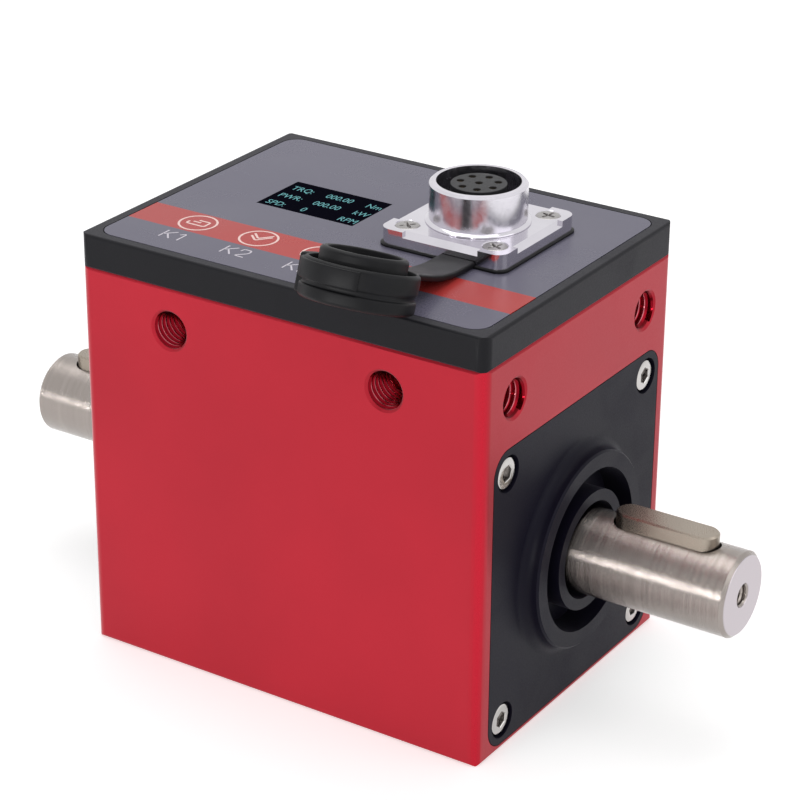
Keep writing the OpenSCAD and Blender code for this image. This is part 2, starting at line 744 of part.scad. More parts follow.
// One end cover: plate, raised collar, ring groove and hub in one piece
module end_cover() {
    collar_in_r = collar_r - collar_wall;
    translate([cover_x, 0, axis_z]) difference() {
        union() {
            rotate([90, 0, 90]) linear_extrude(cover_t) round_rect(cover_w, cover_w, cover_corner_r);
            rotate([0, 90, 0]) translate([0, 0, cover_t]) {
                rotate_extrude() polygon([
                    [0, 0], [collar_r, 0], [collar_r, collar_h - collar_bevel],
                    [collar_r - collar_bevel, collar_h], [0, collar_h]]);
                rotate_extrude() difference() {
                    translate([collar_r - collar_bevel, 0]) square([cove_r + collar_bevel, cove_r]);
                    translate([collar_r + cove_r, cove_r]) circle(cove_r);
                }
            }
        }
        rotate([0, 90, 0]) {
            ring(collar_in_r, hub_r, cover_t - groove_depth, cover_t + collar_h + over);
            translate([0, 0, -over]) cylinder(r = hub_bore_r, h = cover_t + collar_h + 2 * over);
        }
        translate([-cover_x, 0, -axis_z]) at_cover_screws() {
            translate([0, 0, -cover_t - over]) cylinder(r = cover_screw_r + screw_gap, h = 2 * cover_t);
            translate([0, 0, -cover_head_h - hole_bevel / 2])
                cylinder(r = cover_head_r + cover_gap + slide_gap, h = cover_t);
        }
    }
}

module end_cover_right() {
    color("#2b2b2e") end_cover();
}

module end_cover_left() {
    color("#2b2b2e") mirror([1, 0, 0]) end_cover();
}

// Four hexagon socket screws of one cover, heads just below the plate's face
module cover_screws() {
    at_cover_screws() translate([0, 0, -cover_head_h - hole_bevel / 2]) difference() {
        union() {
            translate([0, 0, -cover_screw_l + hole_bevel]) cylinder(r = cover_screw_r, h = cover_screw_l);
            rotate_extrude() polygon([
                [0, 0], [cover_head_r, 0], [cover_head_r, cover_head_h - hole_bevel],
                [cover_head_r - hole_bevel, cover_head_h], [0, cover_head_h]]);
        }
        translate([0, 0, cover_head_h - hex_depth])
            cylinder(r = hex_w / sqrt(3), h = hex_depth + over, $fn = 6);
    }
}

module cover_screws_right() {
    color("silver") cover_screws();
}

module cover_screws_left() {
    color("silver") mirror([1, 0, 0]) cover_screws();
}

// Keyway outline: a slot with round ends
module key_outline(l, w) {
    square([l - w, w], center = true);
    for (s = [-1, 1]) translate([s * (l - w) / 2, 0]) circle(w / 2);
}

module shaft() {
    seat_end_x = cover_x + slide_gap;
    blend = shoulder_r - gauge_r;
    color("#b4b0a8") difference() {
        along_shaft() {
            for (side = [0, 1]) mirror([0, 0, side]) rotate_extrude() polygon([
                [0, 0], [gauge_r, 0], [gauge_r, gauge_l / 2 - blend / 2], [shoulder_r, gauge_l / 2],
                [shoulder_r, bearing_in_x], [seat_r, bearing_in_x], [seat_r, seat_end_x],
                [shaft_r, seat_end_x], [shaft_r, shaft_end_x - shaft_bevel],
                [shaft_r - shaft_bevel, shaft_end_x], [0, shaft_end_x]]);
        }
        for (side = [0, 1]) mirror([side, 0, 0]) {
            translate([shaft_end_x, 0, axis_z]) rotate([0, 90, 0])
                tapped_hole(centre_hole_r, centre_hole_depth);
            translate([keyway_x, 0, axis_z + key_foot]) linear_extrude(shaft_r)
                key_outline(shaft_key_l + 2 * keyway_end_gap, shaft_key_w + 2 * keyway_gap);
        }
    }
}

// One parallel key with round ends
module shaft_key() {
    translate([keyway_x, 0, axis_z + key_foot]) linear_extrude(shaft_key_h)
        key_outline(shaft_key_l, shaft_key_w);
}

module shaft_key_right() {
    color("#a8a296") shaft_key();
}

module shaft_key_left() {
    color("#a8a296") mirror([1, 0, 0]) shaft_key();
}

// Children placed in one bearing, with Z = 0 at its middle
module in_bearing(side) {
    mirror([side, 0, 0]) translate([bearing_in_x + bearing_w / 2, 0, axis_z]) rotate([0, 90, 0]) children();
}

// Raceway cutter: a round groove at the ball circle
module raceway() {
    rotate_extrude() translate([race_r, 0]) circle(ball_r + race_gap);
}

module bearing_outer(side) {
    color("#9a9aa0") in_bearing(side) difference() {
        ring(bearing_r, race_r + ball_r - race_h, -bearing_w / 2, bearing_w / 2);
        raceway();
    }
}

module bearing_inner(side) {
    color("#9a9aa0") in_bearing(side) difference() {
        ring(race_r - ball_r + race_h, seat_r + fit, -bearing_w / 2, bearing_w / 2);
        raceway();
    }
}

// Places of the balls round one bearing
module at_balls() {
    for (i = [0 : ball_count - 1]) rotate([0, 0, i * 360 / ball_count]) translate([race_r, 0, 0]) children();
}

module bearing_cage(side) {
    color("#b08d57") in_bearing(side) difference() {
        ring(race_r + cage_wall / 2, race_r - cage_wall / 2, -cage_w / 2, cage_w / 2);
        at_balls() rotate([0, 90, 0]) cylinder(r = ball_r + cage_gap, h = 4 * cage_wall, center = true);
    }
}

module bearing_balls(side) {
    color("#c8c8cc") in_bearing(side) at_balls() sphere(ball_r);
}

// Coil former about Z: a web with two cheeks that hold the winding between them
module coil_former(web_in, web_out, cheek_in, cheek_out) {
    ring(web_out, web_in, -coil_w / 2, coil_w / 2);
    for (side = [0, 1]) mirror([0, 0, side])
        ring(cheek_out, cheek_in, coil_w / 2 - coil_cheek, coil_w / 2);
}

module rotor_former() {
    web_in = shoulder_r + fit;
    web_out = web_in + coil_web;
    color("#d8d4c4") along_shaft() translate([0, 0, coil_x])
        coil_former(web_in, web_out, web_in, rotor_former_r);
}

module rotor_coil() {
    color("#b87333") along_shaft() translate([0, 0, coil_x])
        ring(rotor_former_r - coil_web / 2, shoulder_r + coil_web + 2 * fit,
            -coil_w / 2 + coil_cheek, coil_w / 2 - coil_cheek);
}

module stator_former() {
    web_out = chamber_r - fit;
    web_in = web_out - coil_web;
    color("#d8d4c4") along_shaft() translate([0, 0, coil_x])
        coil_former(web_in, web_out, stator_former_r, web_out);
}

module stator_coil() {
    color("#b87333") along_shaft() translate([0, 0, coil_x])
        ring(chamber_r - coil_web - 2 * fit, stator_former_r + coil_web / 2,
            -coil_w / 2 + coil_cheek, coil_w / 2 - coil_cheek);
}

module speed_disc() {
    slot_w = PI * disc_r / disc_slots;
    color("#50545c") along_shaft() translate([0, 0, disc_x]) {
        linear_extrude(disc_t, center = true) difference() {
            circle(disc_r);
            circle(shoulder_r + fit);
            for (i = [0 : disc_slots - 1]) rotate(i * 360 / disc_slots)
                translate([disc_r, 0]) square([2 * disc_slot_l, slot_w], center = true);
        }
        ring(shoulder_r + coil_web + fit, shoulder_r + fit, 0, coil_w / 2);
    }
}

module speed_pickup() {
    color("#26262a") difference() {
        union() {
            translate([disc_x - pickup_l / 2, -pickup_w / 2, pickup_foot_z])
                cube([pickup_l, pickup_w, pocket_floor_z - pickup_foot_z]);
            translate([disc_x, 0, pocket_floor_z + pickup_flange_t / 2])
                cube([pickup_l + 2 * pickup_flange_t, pickup_w + 2 * pickup_flange_t, pickup_flange_t],
                    center = true);
        }
        translate([disc_x - disc_t / 2 - pickup_gap, -pickup_w, pickup_foot_z - over])
            cube([disc_t + 2 * pickup_gap, 2 * pickup_w,
                axis_z + disc_r + pickup_gap + over - pickup_foot_z]);
    }
}

module strain_gauges() {
    color("#c07830") along_shaft() intersection() {
        ring(gauge_r + fit + gauge_t, gauge_r + fit, -gauge_w / 2, gauge_w / 2);
        for (turn = [0, 90]) rotate([0, 0, turn])
            cube([4 * gauge_r, gauge_w, gauge_w], center = true);
    }
}

housing();
lid();
lid_screws();
overlay();
display_panel();
main_board();
board_chips();
board_screws();
key_board();
key_switches();
key_plunger(0);  // key_plunger_1
key_plunger(1);  // key_plunger_2
key_plunger(2);  // key_plunger_3
connector_shell();
connector_insert();
connector_contacts();
connector_screws();
dust_cap();
end_cover_right();
end_cover_left();
cover_screws_right();
cover_screws_left();
shaft();
shaft_key_right();
shaft_key_left();
bearing_outer(0);  // bearing_outer_right
bearing_outer(1);  // bearing_outer_left
bearing_inner(0);  // bearing_inner_right
bearing_inner(1);  // bearing_inner_left
bearing_cage(0);  // bearing_cage_right
bearing_cage(1);  // bearing_cage_left
bearing_balls(0);  // bearing_balls_right
bearing_balls(1);  // bearing_balls_left
rotor_former();
rotor_coil();
stator_former();
stator_coil();
speed_disc();
speed_pickup();
strain_gauges();
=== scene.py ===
"""Rotary torque sensor: its meshes, its finishes and the studio round it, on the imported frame."""
from __future__ import annotations

import logging
import math
from dataclasses import dataclass, field
from enum import Enum
from typing import Any, Iterable, Sequence

import bmesh
import bpy
from mathutils import Matrix, Vector

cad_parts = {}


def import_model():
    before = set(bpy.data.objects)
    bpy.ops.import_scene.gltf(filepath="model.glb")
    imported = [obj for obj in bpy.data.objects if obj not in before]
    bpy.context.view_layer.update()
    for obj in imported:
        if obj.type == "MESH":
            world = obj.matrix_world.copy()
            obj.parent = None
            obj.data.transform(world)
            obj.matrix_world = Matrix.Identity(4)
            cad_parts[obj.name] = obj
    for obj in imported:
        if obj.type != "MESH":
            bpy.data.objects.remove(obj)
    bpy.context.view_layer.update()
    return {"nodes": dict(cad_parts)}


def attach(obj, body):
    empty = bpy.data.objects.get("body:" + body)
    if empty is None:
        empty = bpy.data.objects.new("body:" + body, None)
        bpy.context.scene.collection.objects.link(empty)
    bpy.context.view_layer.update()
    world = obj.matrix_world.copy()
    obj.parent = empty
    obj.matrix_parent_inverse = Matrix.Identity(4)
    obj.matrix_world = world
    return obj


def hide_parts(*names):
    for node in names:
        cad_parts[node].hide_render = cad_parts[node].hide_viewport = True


LOG = logging.getLogger("torque_sensor")
MM = 0.001
NOISE = (0.3, 0.7)
CAPITAL = 0.69
CREST = "crest"
FACING = "facing"

Socket = bpy.types.NodeSocket
Colour = tuple[float, float, float]
Point2 = tuple[float, float]


class Body(Enum):
    """Rigid bodies that pieces ride on."""

    FIXED = "body"
    ROTOR = "rotor"


class Side(Enum):
    """Ends of the shaft, as the sign of X."""

    RIGHT = 1
    LEFT = -1

    @property
    def word(self) -> str:
        """Lower-case name used in node names."""
        return self.name.lower()


class Drive(Enum):
    """Recess in a screw's head."""

    HEXAGON = "hexagon"
    CROSS = "cross"


def linear(hex_colour: str) -> Colour:
    """Turns a screen colour into linear light.

    Args:
        hex_colour: six hexadecimal digits.

    Returns:
        Linear red, green and blue.
    """
    parts = [int(hex_colour[i:i + 2], 16) / 255 for i in (0, 2, 4)]
    return tuple(c / 12.92 if c < 0.04045 else ((c + 0.055) / 1.055) ** 2.4 for c in parts)


def rgba(colour: Colour) -> tuple[float, float, float, float]:
    """Adds a full alpha to a colour."""
    return (*colour, 1.0)


def shade(colour: Colour, factor: float) -> Colour:
    """Scales a colour's light."""
    return tuple(c * factor for c in colour)


class Flow:
    """Adds nodes to one tree and links them by plain calls."""

    def __init__(self, tree: bpy.types.NodeTree) -> None:
        """Keeps the tree that the nodes go into."""
        self.tree = tree

    def feed(self, socket: Socket, value: Any) -> None:
        """Links a socket to another one, or sets its own value."""
        if isinstance(value, bpy.types.NodeSocket):
            self.tree.links.new(value, socket)
        else:
            socket.default_value = value

    def add(self, kind: str, inputs: dict[Any, Any] | None = None, **settings: Any) -> bpy.types.Node:
        """Adds a node.

        Args:
            kind: type of the node.
            inputs: values or sockets by input name or number.
            settings: properties of the node.

        Returns:
            The new node.
        """
        node = self.tree.nodes.new(kind)
        for key, value in settings.items():
            setattr(node, key, value)
        for key, value in (inputs or {}).items():
            self.feed(node.inputs[key], value)
        return node

    def math(self, operation: str, a: Any, b: Any = 0.0, clamp: bool = False) -> Socket:
        """Adds a Math node and returns its result."""
        return self.add("ShaderNodeMath", {0: a, 1: b}, operation=operation, use_clamp=clamp).outputs[0]

    def span(self, value: Any, low: float, high: float, start: float = 0.0, end: float = 1.0) -> Socket:
        """Maps a value from one range to another, clamped, and returns the result."""
        node = self.add("ShaderNodeMapRange", {0: value, 1: low, 2: high, 3: start, 4: end}, clamp=True)
        return node.outputs[0]

    def blend(self, factor: Any, first: Any, second: Any) -> Socket:
        """Mixes two colours by a factor and returns the colour."""
        node = self.add("ShaderNodeMix", {"Factor": factor}, data_type="RGBA")
        self.feed(node.inputs[6], first)
        self.feed(node.inputs[7], second)
        return node.outputs[2]


@dataclass(frozen=True)
class Port:
    """Socket of a node group: its name, its kind and its value where one is given."""

    name: str
    kind: str = "NodeSocketFloat"
    value: Any = None
    out: bool = False


def new_group(name: str, kind: str, ports: Iterable[Port]) -> bpy.types.NodeTree:
    """Makes an empty node group with its sockets.

    Args:
        name: name of the group.
        kind: type of the tree.
        ports: inputs and outputs in order.

    Returns:
        The node group.
    """
    tree = bpy.data.node_groups.new(name, kind)
    for port in ports:
        socket = tree.interface.new_socket(
            name=port.name, in_out="OUTPUT" if port.out else "INPUT", socket_type=port.kind)
        if port.value is not None:
            socket.default_value = port.value
    return tree


class SurfaceEffects:
    """Shader node groups that several finishes share, each built once."""

    @classmethod
    def get(cls, name: str) -> bpy.types.NodeTree:
        """Returns a group by name and builds it at its first use."""
        return bpy.data.node_groups.get(name) or getattr(cls, name)()

    @staticmethod
    def fine_grain() -> bpy.types.NodeTree:
        """Even grain of a blasted, moulded or printed surface, with slow clouds under it.

        Returns:
            The node group.
        """
        tree = new_group("fine_grain", "ShaderNodeTree", [
            Port("Vector", "NodeSocketVector"), Port("Grain Scale", value=2000.0),
            Port("Cloud Scale", value=40.0), Port("Grain", out=True), Port("Cloud", out=True)])
        flow = Flow(tree)
        start = flow.add("NodeGroupInput")
        end = flow.add("NodeGroupOutput")
        for scale, name, detail in (("Grain Scale", "Grain", 3.0), ("Cloud Scale", "Cloud", 4.0)):
            noise = flow.add("ShaderNodeTexNoise", {
                "Vector": start.outputs["Vector"], "Scale": start.outputs[scale], "Detail": detail})
            flow.feed(end.inputs[name], noise.outputs[0])
        return tree

    @staticmethod
    def turning_marks() -> bpy.types.NodeTree:
        """Fine uneven rings that a lathe leaves round an axis along X.

        Returns:
            The node group.
        """
        tree = new_group("turning_marks", "ShaderNodeTree", [
            Port("Vector", "NodeSocketVector"), Port("Rings", value=3000.0),
            Port("Drift", value=15.0), Port("Marks", out=True)])
        flow = Flow(tree)
        start = flow.add("NodeGroupInput")
        end = flow.add("NodeGroupOutput")
        parts = flow.add("ShaderNodeSeparateXYZ", {0: start.outputs["Vector"]})
        stretched = flow.add("ShaderNodeCombineXYZ", {
            0: flow.math("MULTIPLY", parts.outputs[0], start.outputs["Rings"]),
            1: flow.math("MULTIPLY", parts.outputs[1], start.outputs["Drift"]),
            2: flow.math("MULTIPLY", parts.outputs[2], start.outputs["Drift"])})
        noise = flow.add("ShaderNodeTexNoise", {
            "Vector": stretched.outputs[0], "Scale": 1.0, "Detail": 4.0})
        flow.feed(end.inputs["Marks"], flow.span(noise.outputs[0], *NOISE))
        return tree

    @staticmethod
    def handling() -> bpy.types.NodeTree:
        """Faint patches where hands have touched a surface.

        Returns:
            The node group.
        """
        tree = new_group("handling", "ShaderNodeTree", [
            Port("Vector", "NodeSocketVector"), Port("Size", value=60.0),
            Port("Amount", value=0.1), Port("Smudge", out=True)])
        flow = Flow(tree)
        start = flow.add("NodeGroupInput")
        end = flow.add("NodeGroupOutput")
        noise = flow.add("ShaderNodeTexNoise", {
            "Vector": start.outputs["Vector"], "Scale": start.outputs["Size"],
            "Detail": 5.0, "Distortion": 0.6})
        patch = flow.span(noise.outputs[0], 0.5, 0.72)
        flow.feed(end.inputs["Smudge"], flow.math("MULTIPLY", patch, start.outputs["Amount"]))
        return tree

    @staticmethod
    def pixel_grid() -> bpy.types.NodeTree:
        """Rows and columns of lit dots in a display.

        Returns:
            The node group.
        """
        tree = new_group("pixel_grid", "ShaderNodeTree", [
            Port("Vector", "NodeSocketVector"), Port("Dots", value=5000.0), Port("Lit", out=True)])
        flow = Flow(tree)
        start = flow.add("NodeGroupInput")
        end = flow.add("NodeGroupOutput")
        parts = flow.add("ShaderNodeSeparateXYZ", {0: start.outputs["Vector"]})
        lit = []
        for axis in (0, 1):
            place = flow.math("FRACT", flow.math("MULTIPLY", parts.outputs[axis], start.outputs["Dots"]))
            off = flow.math("ABSOLUTE", flow.math("SUBTRACT", place, 0.5))
            lit.append(flow.span(off, 0.36, 0.48, 1.0, 0.0))
        flow.feed(end.inputs["Lit"], flow.math("MULTIPLY", lit[0], lit[1]))
        return tree


@dataclass
class Paint:
    """Material in the making: its nodes, its main shader and its Object coordinates."""

    flow: Flow
    main: bpy.types.Node
    place: Socket

    def effect(self, name: str, values: dict[str, float] | None = None) -> bpy.types.Node:
        """Places a shared effect on the surface and returns its node."""
        node = self.flow.add("ShaderNodeGroup", node_tree=SurfaceEffects.get(name))
        self.flow.feed(node.inputs["Vector"], self.place)
        for key, value in (values or {}).items():
            node.inputs[key].default_value = value
        return node

    def set(self, **values: Any) -> None:
        """Sets or links sockets of the main shader, with _ for a space in a name."""
        for key, value in values.items():
            self.flow.feed(self.main.inputs[key.replace("_", " ")], value)

    def sheen(self, weight: float, tint: Colour) -> None:
        """Adds a soft sheen to the main shader."""
        self.main.inputs["Sheen Weight"].default_value = weight
        self.main.inputs["Sheen Roughness"].default_value = 0.4
        self.main.inputs["Sheen Tint"].default_value = rgba(tint)

    def specular(self, level: float) -> None:
        """Sets how strongly the main shader reflects."""
        self.main.inputs["Specular IOR Level"].default_value = level

    def mottle(self, share: Socket, colour: Colour, first: float, second: float) -> Socket:
        """Returns a colour that drifts between two shades of it by a share."""
        return self.flow.blend(share, rgba(shade(colour, first)), rgba(shade(colour, second)))

    def fleck(self, grain: Socket, low: float, high: float) -> Socket:
        """Returns a value that follows a grain from low to high."""
        return self.flow.span(grain, *NOISE, low, high)

    def relief(self, height: Socket, depth: float, strength: float = 1.0) -> None:
        """Raises the surface by a height map, depth in metres."""
        bump = self.flow.add("ShaderNodeBump", {"Strength": strength, "Distance": depth, "Height": height})
        self.set(Normal=bump.outputs[0])


@dataclass(frozen=True)
class Finish:
    """Surface of a piece; each kind paints its own nodes."""

    name: str

    def material(self) -> bpy.types.Material:
        """Returns the finish as a material, made at its first use."""
        title = f"{self.name}_finish"
        made = bpy.data.materials.get(title)
        if made is None:
            made = bpy.data.materials.new(title)
            made.use_nodes = True
            made.node_tree.nodes.clear()
            flow = Flow(made.node_tree)
            main = flow.add("ShaderNodeBsdfPrincipled")
            flow.add("ShaderNodeOutputMaterial", {0: main.outputs[0]})
            place = flow.add("ShaderNodeTexCoord").outputs["Object"]
            self.paint(Paint(flow, main, place))
        return made

    def paint(self, paint: Paint) -> None:
        """Draws the finish's nodes.

        Args:
            paint: material in the making.
        """
        raise NotImplementedError


@dataclass(frozen=True)
class Anodised(Finish):
    """Dyed anodised aluminium, blasted before dyeing."""

    colour: Colour = (0.4, 0.03, 0.04)
    roughness: float = 0.42
    metal: float = 0.45
    sheen: float = 0.0
    corner: tuple[float, float] | None = None
    corner_r: float = 2.6 * MM
    corner_gain: float = 1.06
    corner_polish: float = 0.14

    def polished(self, paint: Paint, corner: tuple[float, float]) -> Socket:
        """Finds the rounded upright edges, which get a lower roughness, more metal and a painted highlight
        in their colour.

        Args:
            paint: material in the making.
            corner: half length and half width of the block.

        Returns:
            A share that is 1 in the middle of an edge and 0 on the faces.
        """
        flow = paint.flow
        parts = flow.add("ShaderNodeSeparateXYZ", {0: paint.place})
        shares = []
        for axis, edge in enumerate(corner):
            off = flow.math("ABSOLUTE", parts.outputs[axis])
            shares.append(flow.span(off, edge - self.corner_r, edge - self.corner_r * 0.3))
        return flow.math("MULTIPLY", shares[0], shares[1])

    def paint(self, paint: Paint) -> None:
        """Mixes two close shades by slow clouds, with a blasted grain and smoother corners that carry a
        painted highlight.

        Args:
            paint: material in the making.
        """
        flow = paint.flow
        grain = paint.effect("fine_grain", {"Grain Scale": 3200.0, "Cloud Scale": 22.0})
        smudge = paint.effect("handling", {"Size": 48.0, "Amount": 0.06})
        cloud = flow.span(grain.outputs["Cloud"], 0.35, 0.65)
        base = paint.mottle(cloud, self.colour, 0.94, 1.05)
        fleck = paint.fleck(grain.outputs["Grain"], self.roughness - 0.05, self.roughness + 0.05)
        rough = flow.math("ADD", fleck, smudge.outputs["Smudge"])
        if self.corner is None:
            paint.set(Base_Color=base, Metallic=self.metal, Roughness=rough)
        else:
            smooth = self.polished(paint, self.corner)
            # painted highlight: the base colour is lifted on the rounded upright edges
            paint.set(Base_Color=flow.blend(smooth, base, rgba(shade(self.colour, self.corner_gain))))
            paint.set(Metallic=flow.span(smooth, 0.0, 1.0, self.metal, 1.0))
            polish = flow.math("MULTIPLY", smooth, self.corner_polish)
            paint.set(Roughness=flow.math("SUBTRACT", rough, polish))
        paint.specular(0.2)
        paint.sheen(self.sheen, (1.0, 0.85, 0.88))
        paint.relief(grain.outputs["Grain"], 0.00003, 0.3)


@dataclass(frozen=True)
class CutThread(Finish):
    """Thread cut in the red block: painted shade in the valleys and a painted highlight on the crests."""

    # the valley colour is painted shade, the crest colour a painted highlight
    valley: Colour = (0.15, 0.01, 0.01)
    crest: Colour = (0.8, 0.3, 0.35)
    roughness: float = 0.16

    def paint(self, paint: Paint) -> None:
        """Paints a highlight on the crests and shade in the valleys by the height that the winding keeps at
        each point.

        Args:
            paint: material in the making.
        """
        flow = paint.flow
        grain = paint.effect("fine_grain", {"Grain Scale": 3200.0, "Cloud Scale": 400.0})
        height = flow.add("ShaderNodeAttribute", attribute_name=CREST).outputs["Fac"]
        # painted shade in the valleys and painted highlight on the crests, by crest height
        crest_highlight_share = flow.span(height, 0.66, 1.0)
        paint.set(Base_Color=flow.blend(crest_highlight_share, rgba(self.valley), rgba(self.crest)), Metallic=1.0)
        paint.set(Roughness=paint.fleck(
            grain.outputs["Grain"], self.roughness - 0.04, self.roughness + 0.06))


@dataclass(frozen=True)
class Moulded(Finish):
    """Plastic, lacquer or powder coat with a fine grain."""

    colour: Colour = (0.03, 0.03, 0.03)
    roughness: float = 0.5
    grain: float = 2600.0
    depth: float = 0.00004
    specular: float = 0.5
    sheen: float = 0.0

    def paint(self, paint: Paint) -> None:
        """Gives a nearly even colour, a grain in the gloss, a sheen and a shallow relief.

        Args:
            paint: material in the making.
        """
        flow = paint.flow
        grain = paint.effect("fine_grain", {"Grain Scale": self.grain, "Cloud Scale": 35.0})
        smudge = paint.effect("handling", {"Size": 70.0, "Amount": 0.08})
        cloud = flow.span(grain.outputs["Cloud"], *NOISE)
        base = paint.mottle(cloud, self.colour, 0.9, 1.12)
        fleck = paint.fleck(grain.outputs["Grain"], self.roughness - 0.06, self.roughness + 0.06)
        paint.set(Base_Color=base, Roughness=flow.math("ADD", fleck, smudge.outputs["Smudge"]))
        paint.sheen(self.sheen, (0.88, 0.85, 1.0))
        paint.specular(self.specular)
        paint.relief(grain.outputs["Grain"], self.depth, 0.5)


@dataclass(frozen=True)
class Rubber(Finish):
    """Soft black rubber with a slight bloom."""

    colour: Colour = (0.005, 0.005, 0.006)
    roughness: float = 0.45
    specular: float = 0.18

    def paint(self, paint: Paint) -> None:
        """Adds a pale bloom in patches and a skin-like relief.

        Args:
            paint: material in the making.
        """
        flow = paint.flow
        grain = paint.effect("fine_grain", {"Grain Scale": 1400.0, "Cloud Scale": 130.0})
        smudge = paint.effect("handling", {"Size": 160.0, "Amount": 0.5})
        base = paint.mottle(smudge.outputs["Smudge"], self.colour, 1.0, 2.2)
        fleck = paint.fleck(grain.outputs["Cloud"], self.roughness - 0.07, self.roughness + 0.09)
        paint.set(Base_Color=base, Roughness=fleck)
        paint.specular(self.specular)
        paint.relief(grain.outputs["Grain"], 0.00004, 0.3)


@dataclass(frozen=True)
class TurnedMetal(Finish):
    """Bare or plated metal turned about the shaft axis."""

    colour: Colour = (0.55, 0.53, 0.5)
    roughness: float = 0.3
    rings: float = 60000.0
    depth: float = 0.00003
    faced: Colour = (0.55, 0.53, 0.5)
    faced_from: float = 1.0

    def paint(self, paint: Paint) -> None:
        """Lays fine lathe rings in relief, wider ones in colour and gloss, and paler faced ends.

        Args:
            paint: material in the making.
        """
        flow = paint.flow
        fine = paint.effect("turning_marks", {"Rings": self.rings, "Drift": 18.0}).outputs["Marks"]
        wide = paint.effect("turning_marks", {"Rings": 900.0, "Drift": 18.0}).outputs["Marks"]
        smudge = paint.effect("handling", {"Size": 90.0, "Amount": 0.02})
        base = paint.mottle(wide, self.colour, 0.95, 1.04)
        along = flow.math("ABSOLUTE", flow.add("ShaderNodeSeparateXYZ", {0: paint.place}).outputs[0])
        end = flow.span(along, self.faced_from - 0.1 * MM, self.faced_from)
        gloss = flow.span(wide, 0.0, 1.0, self.roughness + 0.03, self.roughness - 0.03)
        paint.set(Base_Color=flow.blend(end, base, rgba(self.faced)), Metallic=1.0)
        paint.set(Roughness=flow.math("ADD", gloss, smudge.outputs["Smudge"]))
        paint.relief(fine, self.depth, 0.6)


@dataclass(frozen=True)
class PlainMetal(Finish):
    """Plated, ground or cast metal without a lay."""

    colour: Colour = (0.6, 0.6, 0.6)
    roughness: float = 0.25
    grain: float = 1500.0
    depth: float = 0.00001

    def paint(self, paint: Paint) -> None:
        """Varies gloss by a fine grain and by handling.

        Args:
            paint: material in the making.
        """
        flow = paint.flow
        grain = paint.effect("fine_grain", {"Grain Scale": self.grain, "Cloud Scale": 110.0})
        smudge = paint.effect("handling", {"Size": 140.0, "Amount": 0.06})
        cloud = flow.span(grain.outputs["Cloud"], *NOISE)
        base = paint.mottle(cloud, self.colour, 0.93, 1.05)
        fleck = paint.fleck(grain.outputs["Grain"], self.roughness - 0.04, self.roughness + 0.04)
        paint.set(Base_Color=base, Metallic=1.0)
        paint.set(Roughness=flow.math("ADD", self.gloss(paint, fleck), smudge.outputs["Smudge"]))
        paint.relief(grain.outputs["Grain"], self.depth, 0.4)

    def gloss(self, paint: Paint, fleck: Socket) -> Socket:
        """Returns the roughness before handling marks, the same all over."""
        return fleck


@dataclass(frozen=True)
class ShellMetal(PlainMetal):
    """Connector metal: a polished flange below, a satin turned barrel above."""

    satin: float = 0.09
    satin_from: float = 97.8 * MM

    def gloss(self, paint: Paint, fleck: Socket) -> Socket:
        """Returns a roughness that steps up at the foot of the barrel."""
        flow = paint.flow
        height = flow.add("ShaderNodeSeparateXYZ", {0: paint.place}).outputs[2]
        step = flow.span(height, self.satin_from, self.satin_from + 0.2 * MM, 0.0, self.satin)
        return flow.math("ADD", fleck, step)


@dataclass(frozen=True)
class OverlayFilm(Finish):
    """Printed film: grey ground with one red band across it."""

    ground: Colour = (0.2, 0.19, 0.25)
    band: Colour = (0.5, 0.1, 0.09)
    band_low: float = -24.0 * MM
    band_high: float = -14.4 * MM
    soft: float = 0.08 * MM

    def paint(self, paint: Paint) -> None:
        """Prints the band by the place across the shaft, under a fine matt grain.

        Args:
            paint: material in the making.
        """
        flow = paint.flow
        grain = paint.effect("fine_grain", {"Grain Scale": 4200.0, "Cloud Scale": 30.0})
        smudge = paint.effect("handling", {"Size": 55.0, "Amount": 0.04})
        across = flow.add("ShaderNodeSeparateXYZ", {0: paint.place}).outputs[1]
        lower = flow.span(across, self.band_low - self.soft, self.band_low + self.soft)
        upper = flow.span(across, self.band_high - self.soft, self.band_high + self.soft, 1.0, 0.0)
        printed = flow.blend(flow.math("MULTIPLY", lower, upper), rgba(self.ground), rgba(self.band))
        cloud = paint.fleck(grain.outputs["Cloud"], 0.0, 0.1)
        paint.set(Base_Color=flow.blend(cloud, printed, (0.3, 0.3, 0.32, 1.0)))
        fleck = paint.fleck(grain.outputs["Grain"], 0.24, 0.27)
        paint.set(Roughness=flow.math("ADD", fleck, smudge.outputs["Smudge"]))
        paint.specular(0.2)
        paint.relief(grain.outputs["Grain"], 0.000002, 0.2)


@dataclass(frozen=True)
class PrintInk(Finish):
    """Screen-printed ink with tiny pinholes."""

    colour: Colour = (0.8, 0.62, 0.62)

    def paint(self, paint: Paint) -> None:
        """Thins the ink a little in spots.

        Args:
            paint: material in the making.
        """
        flow = paint.flow
        grain = paint.effect("fine_grain", {"Grain Scale": 5200.0, "Cloud Scale": 300.0})
        thin = flow.span(grain.outputs["Grain"], 0.55, 0.8, 0.0, 0.35)
        paint.set(Base_Color=paint.mottle(thin, self.colour, 1.0, 0.7))
        paint.set(Roughness=paint.fleck(grain.outputs["Cloud"], 0.42, 0.52))


@dataclass(frozen=True)
class DisplayGlass(Finish):
    """Dark glass over a display, with a faint dot grid in it."""

    colour: Colour = (0.002, 0.002, 0.004)

    def paint(self, paint: Paint) -> None:
        """Shows the unlit dots and a few wipe marks.

        Args:
            paint: material in the making.
        """
        flow = paint.flow
        lit = paint.effect("pixel_grid", {"Dots": 5300.0}).outputs["Lit"]
        smudge = paint.effect("handling", {"Size": 220.0, "Amount": 0.08})
        paint.set(Base_Color=paint.mottle(lit, self.colour, 1.0, 2.5))
        paint.set(Roughness=flow.math("ADD", smudge.outputs["Smudge"], 0.16))
        paint.specular(0.0)


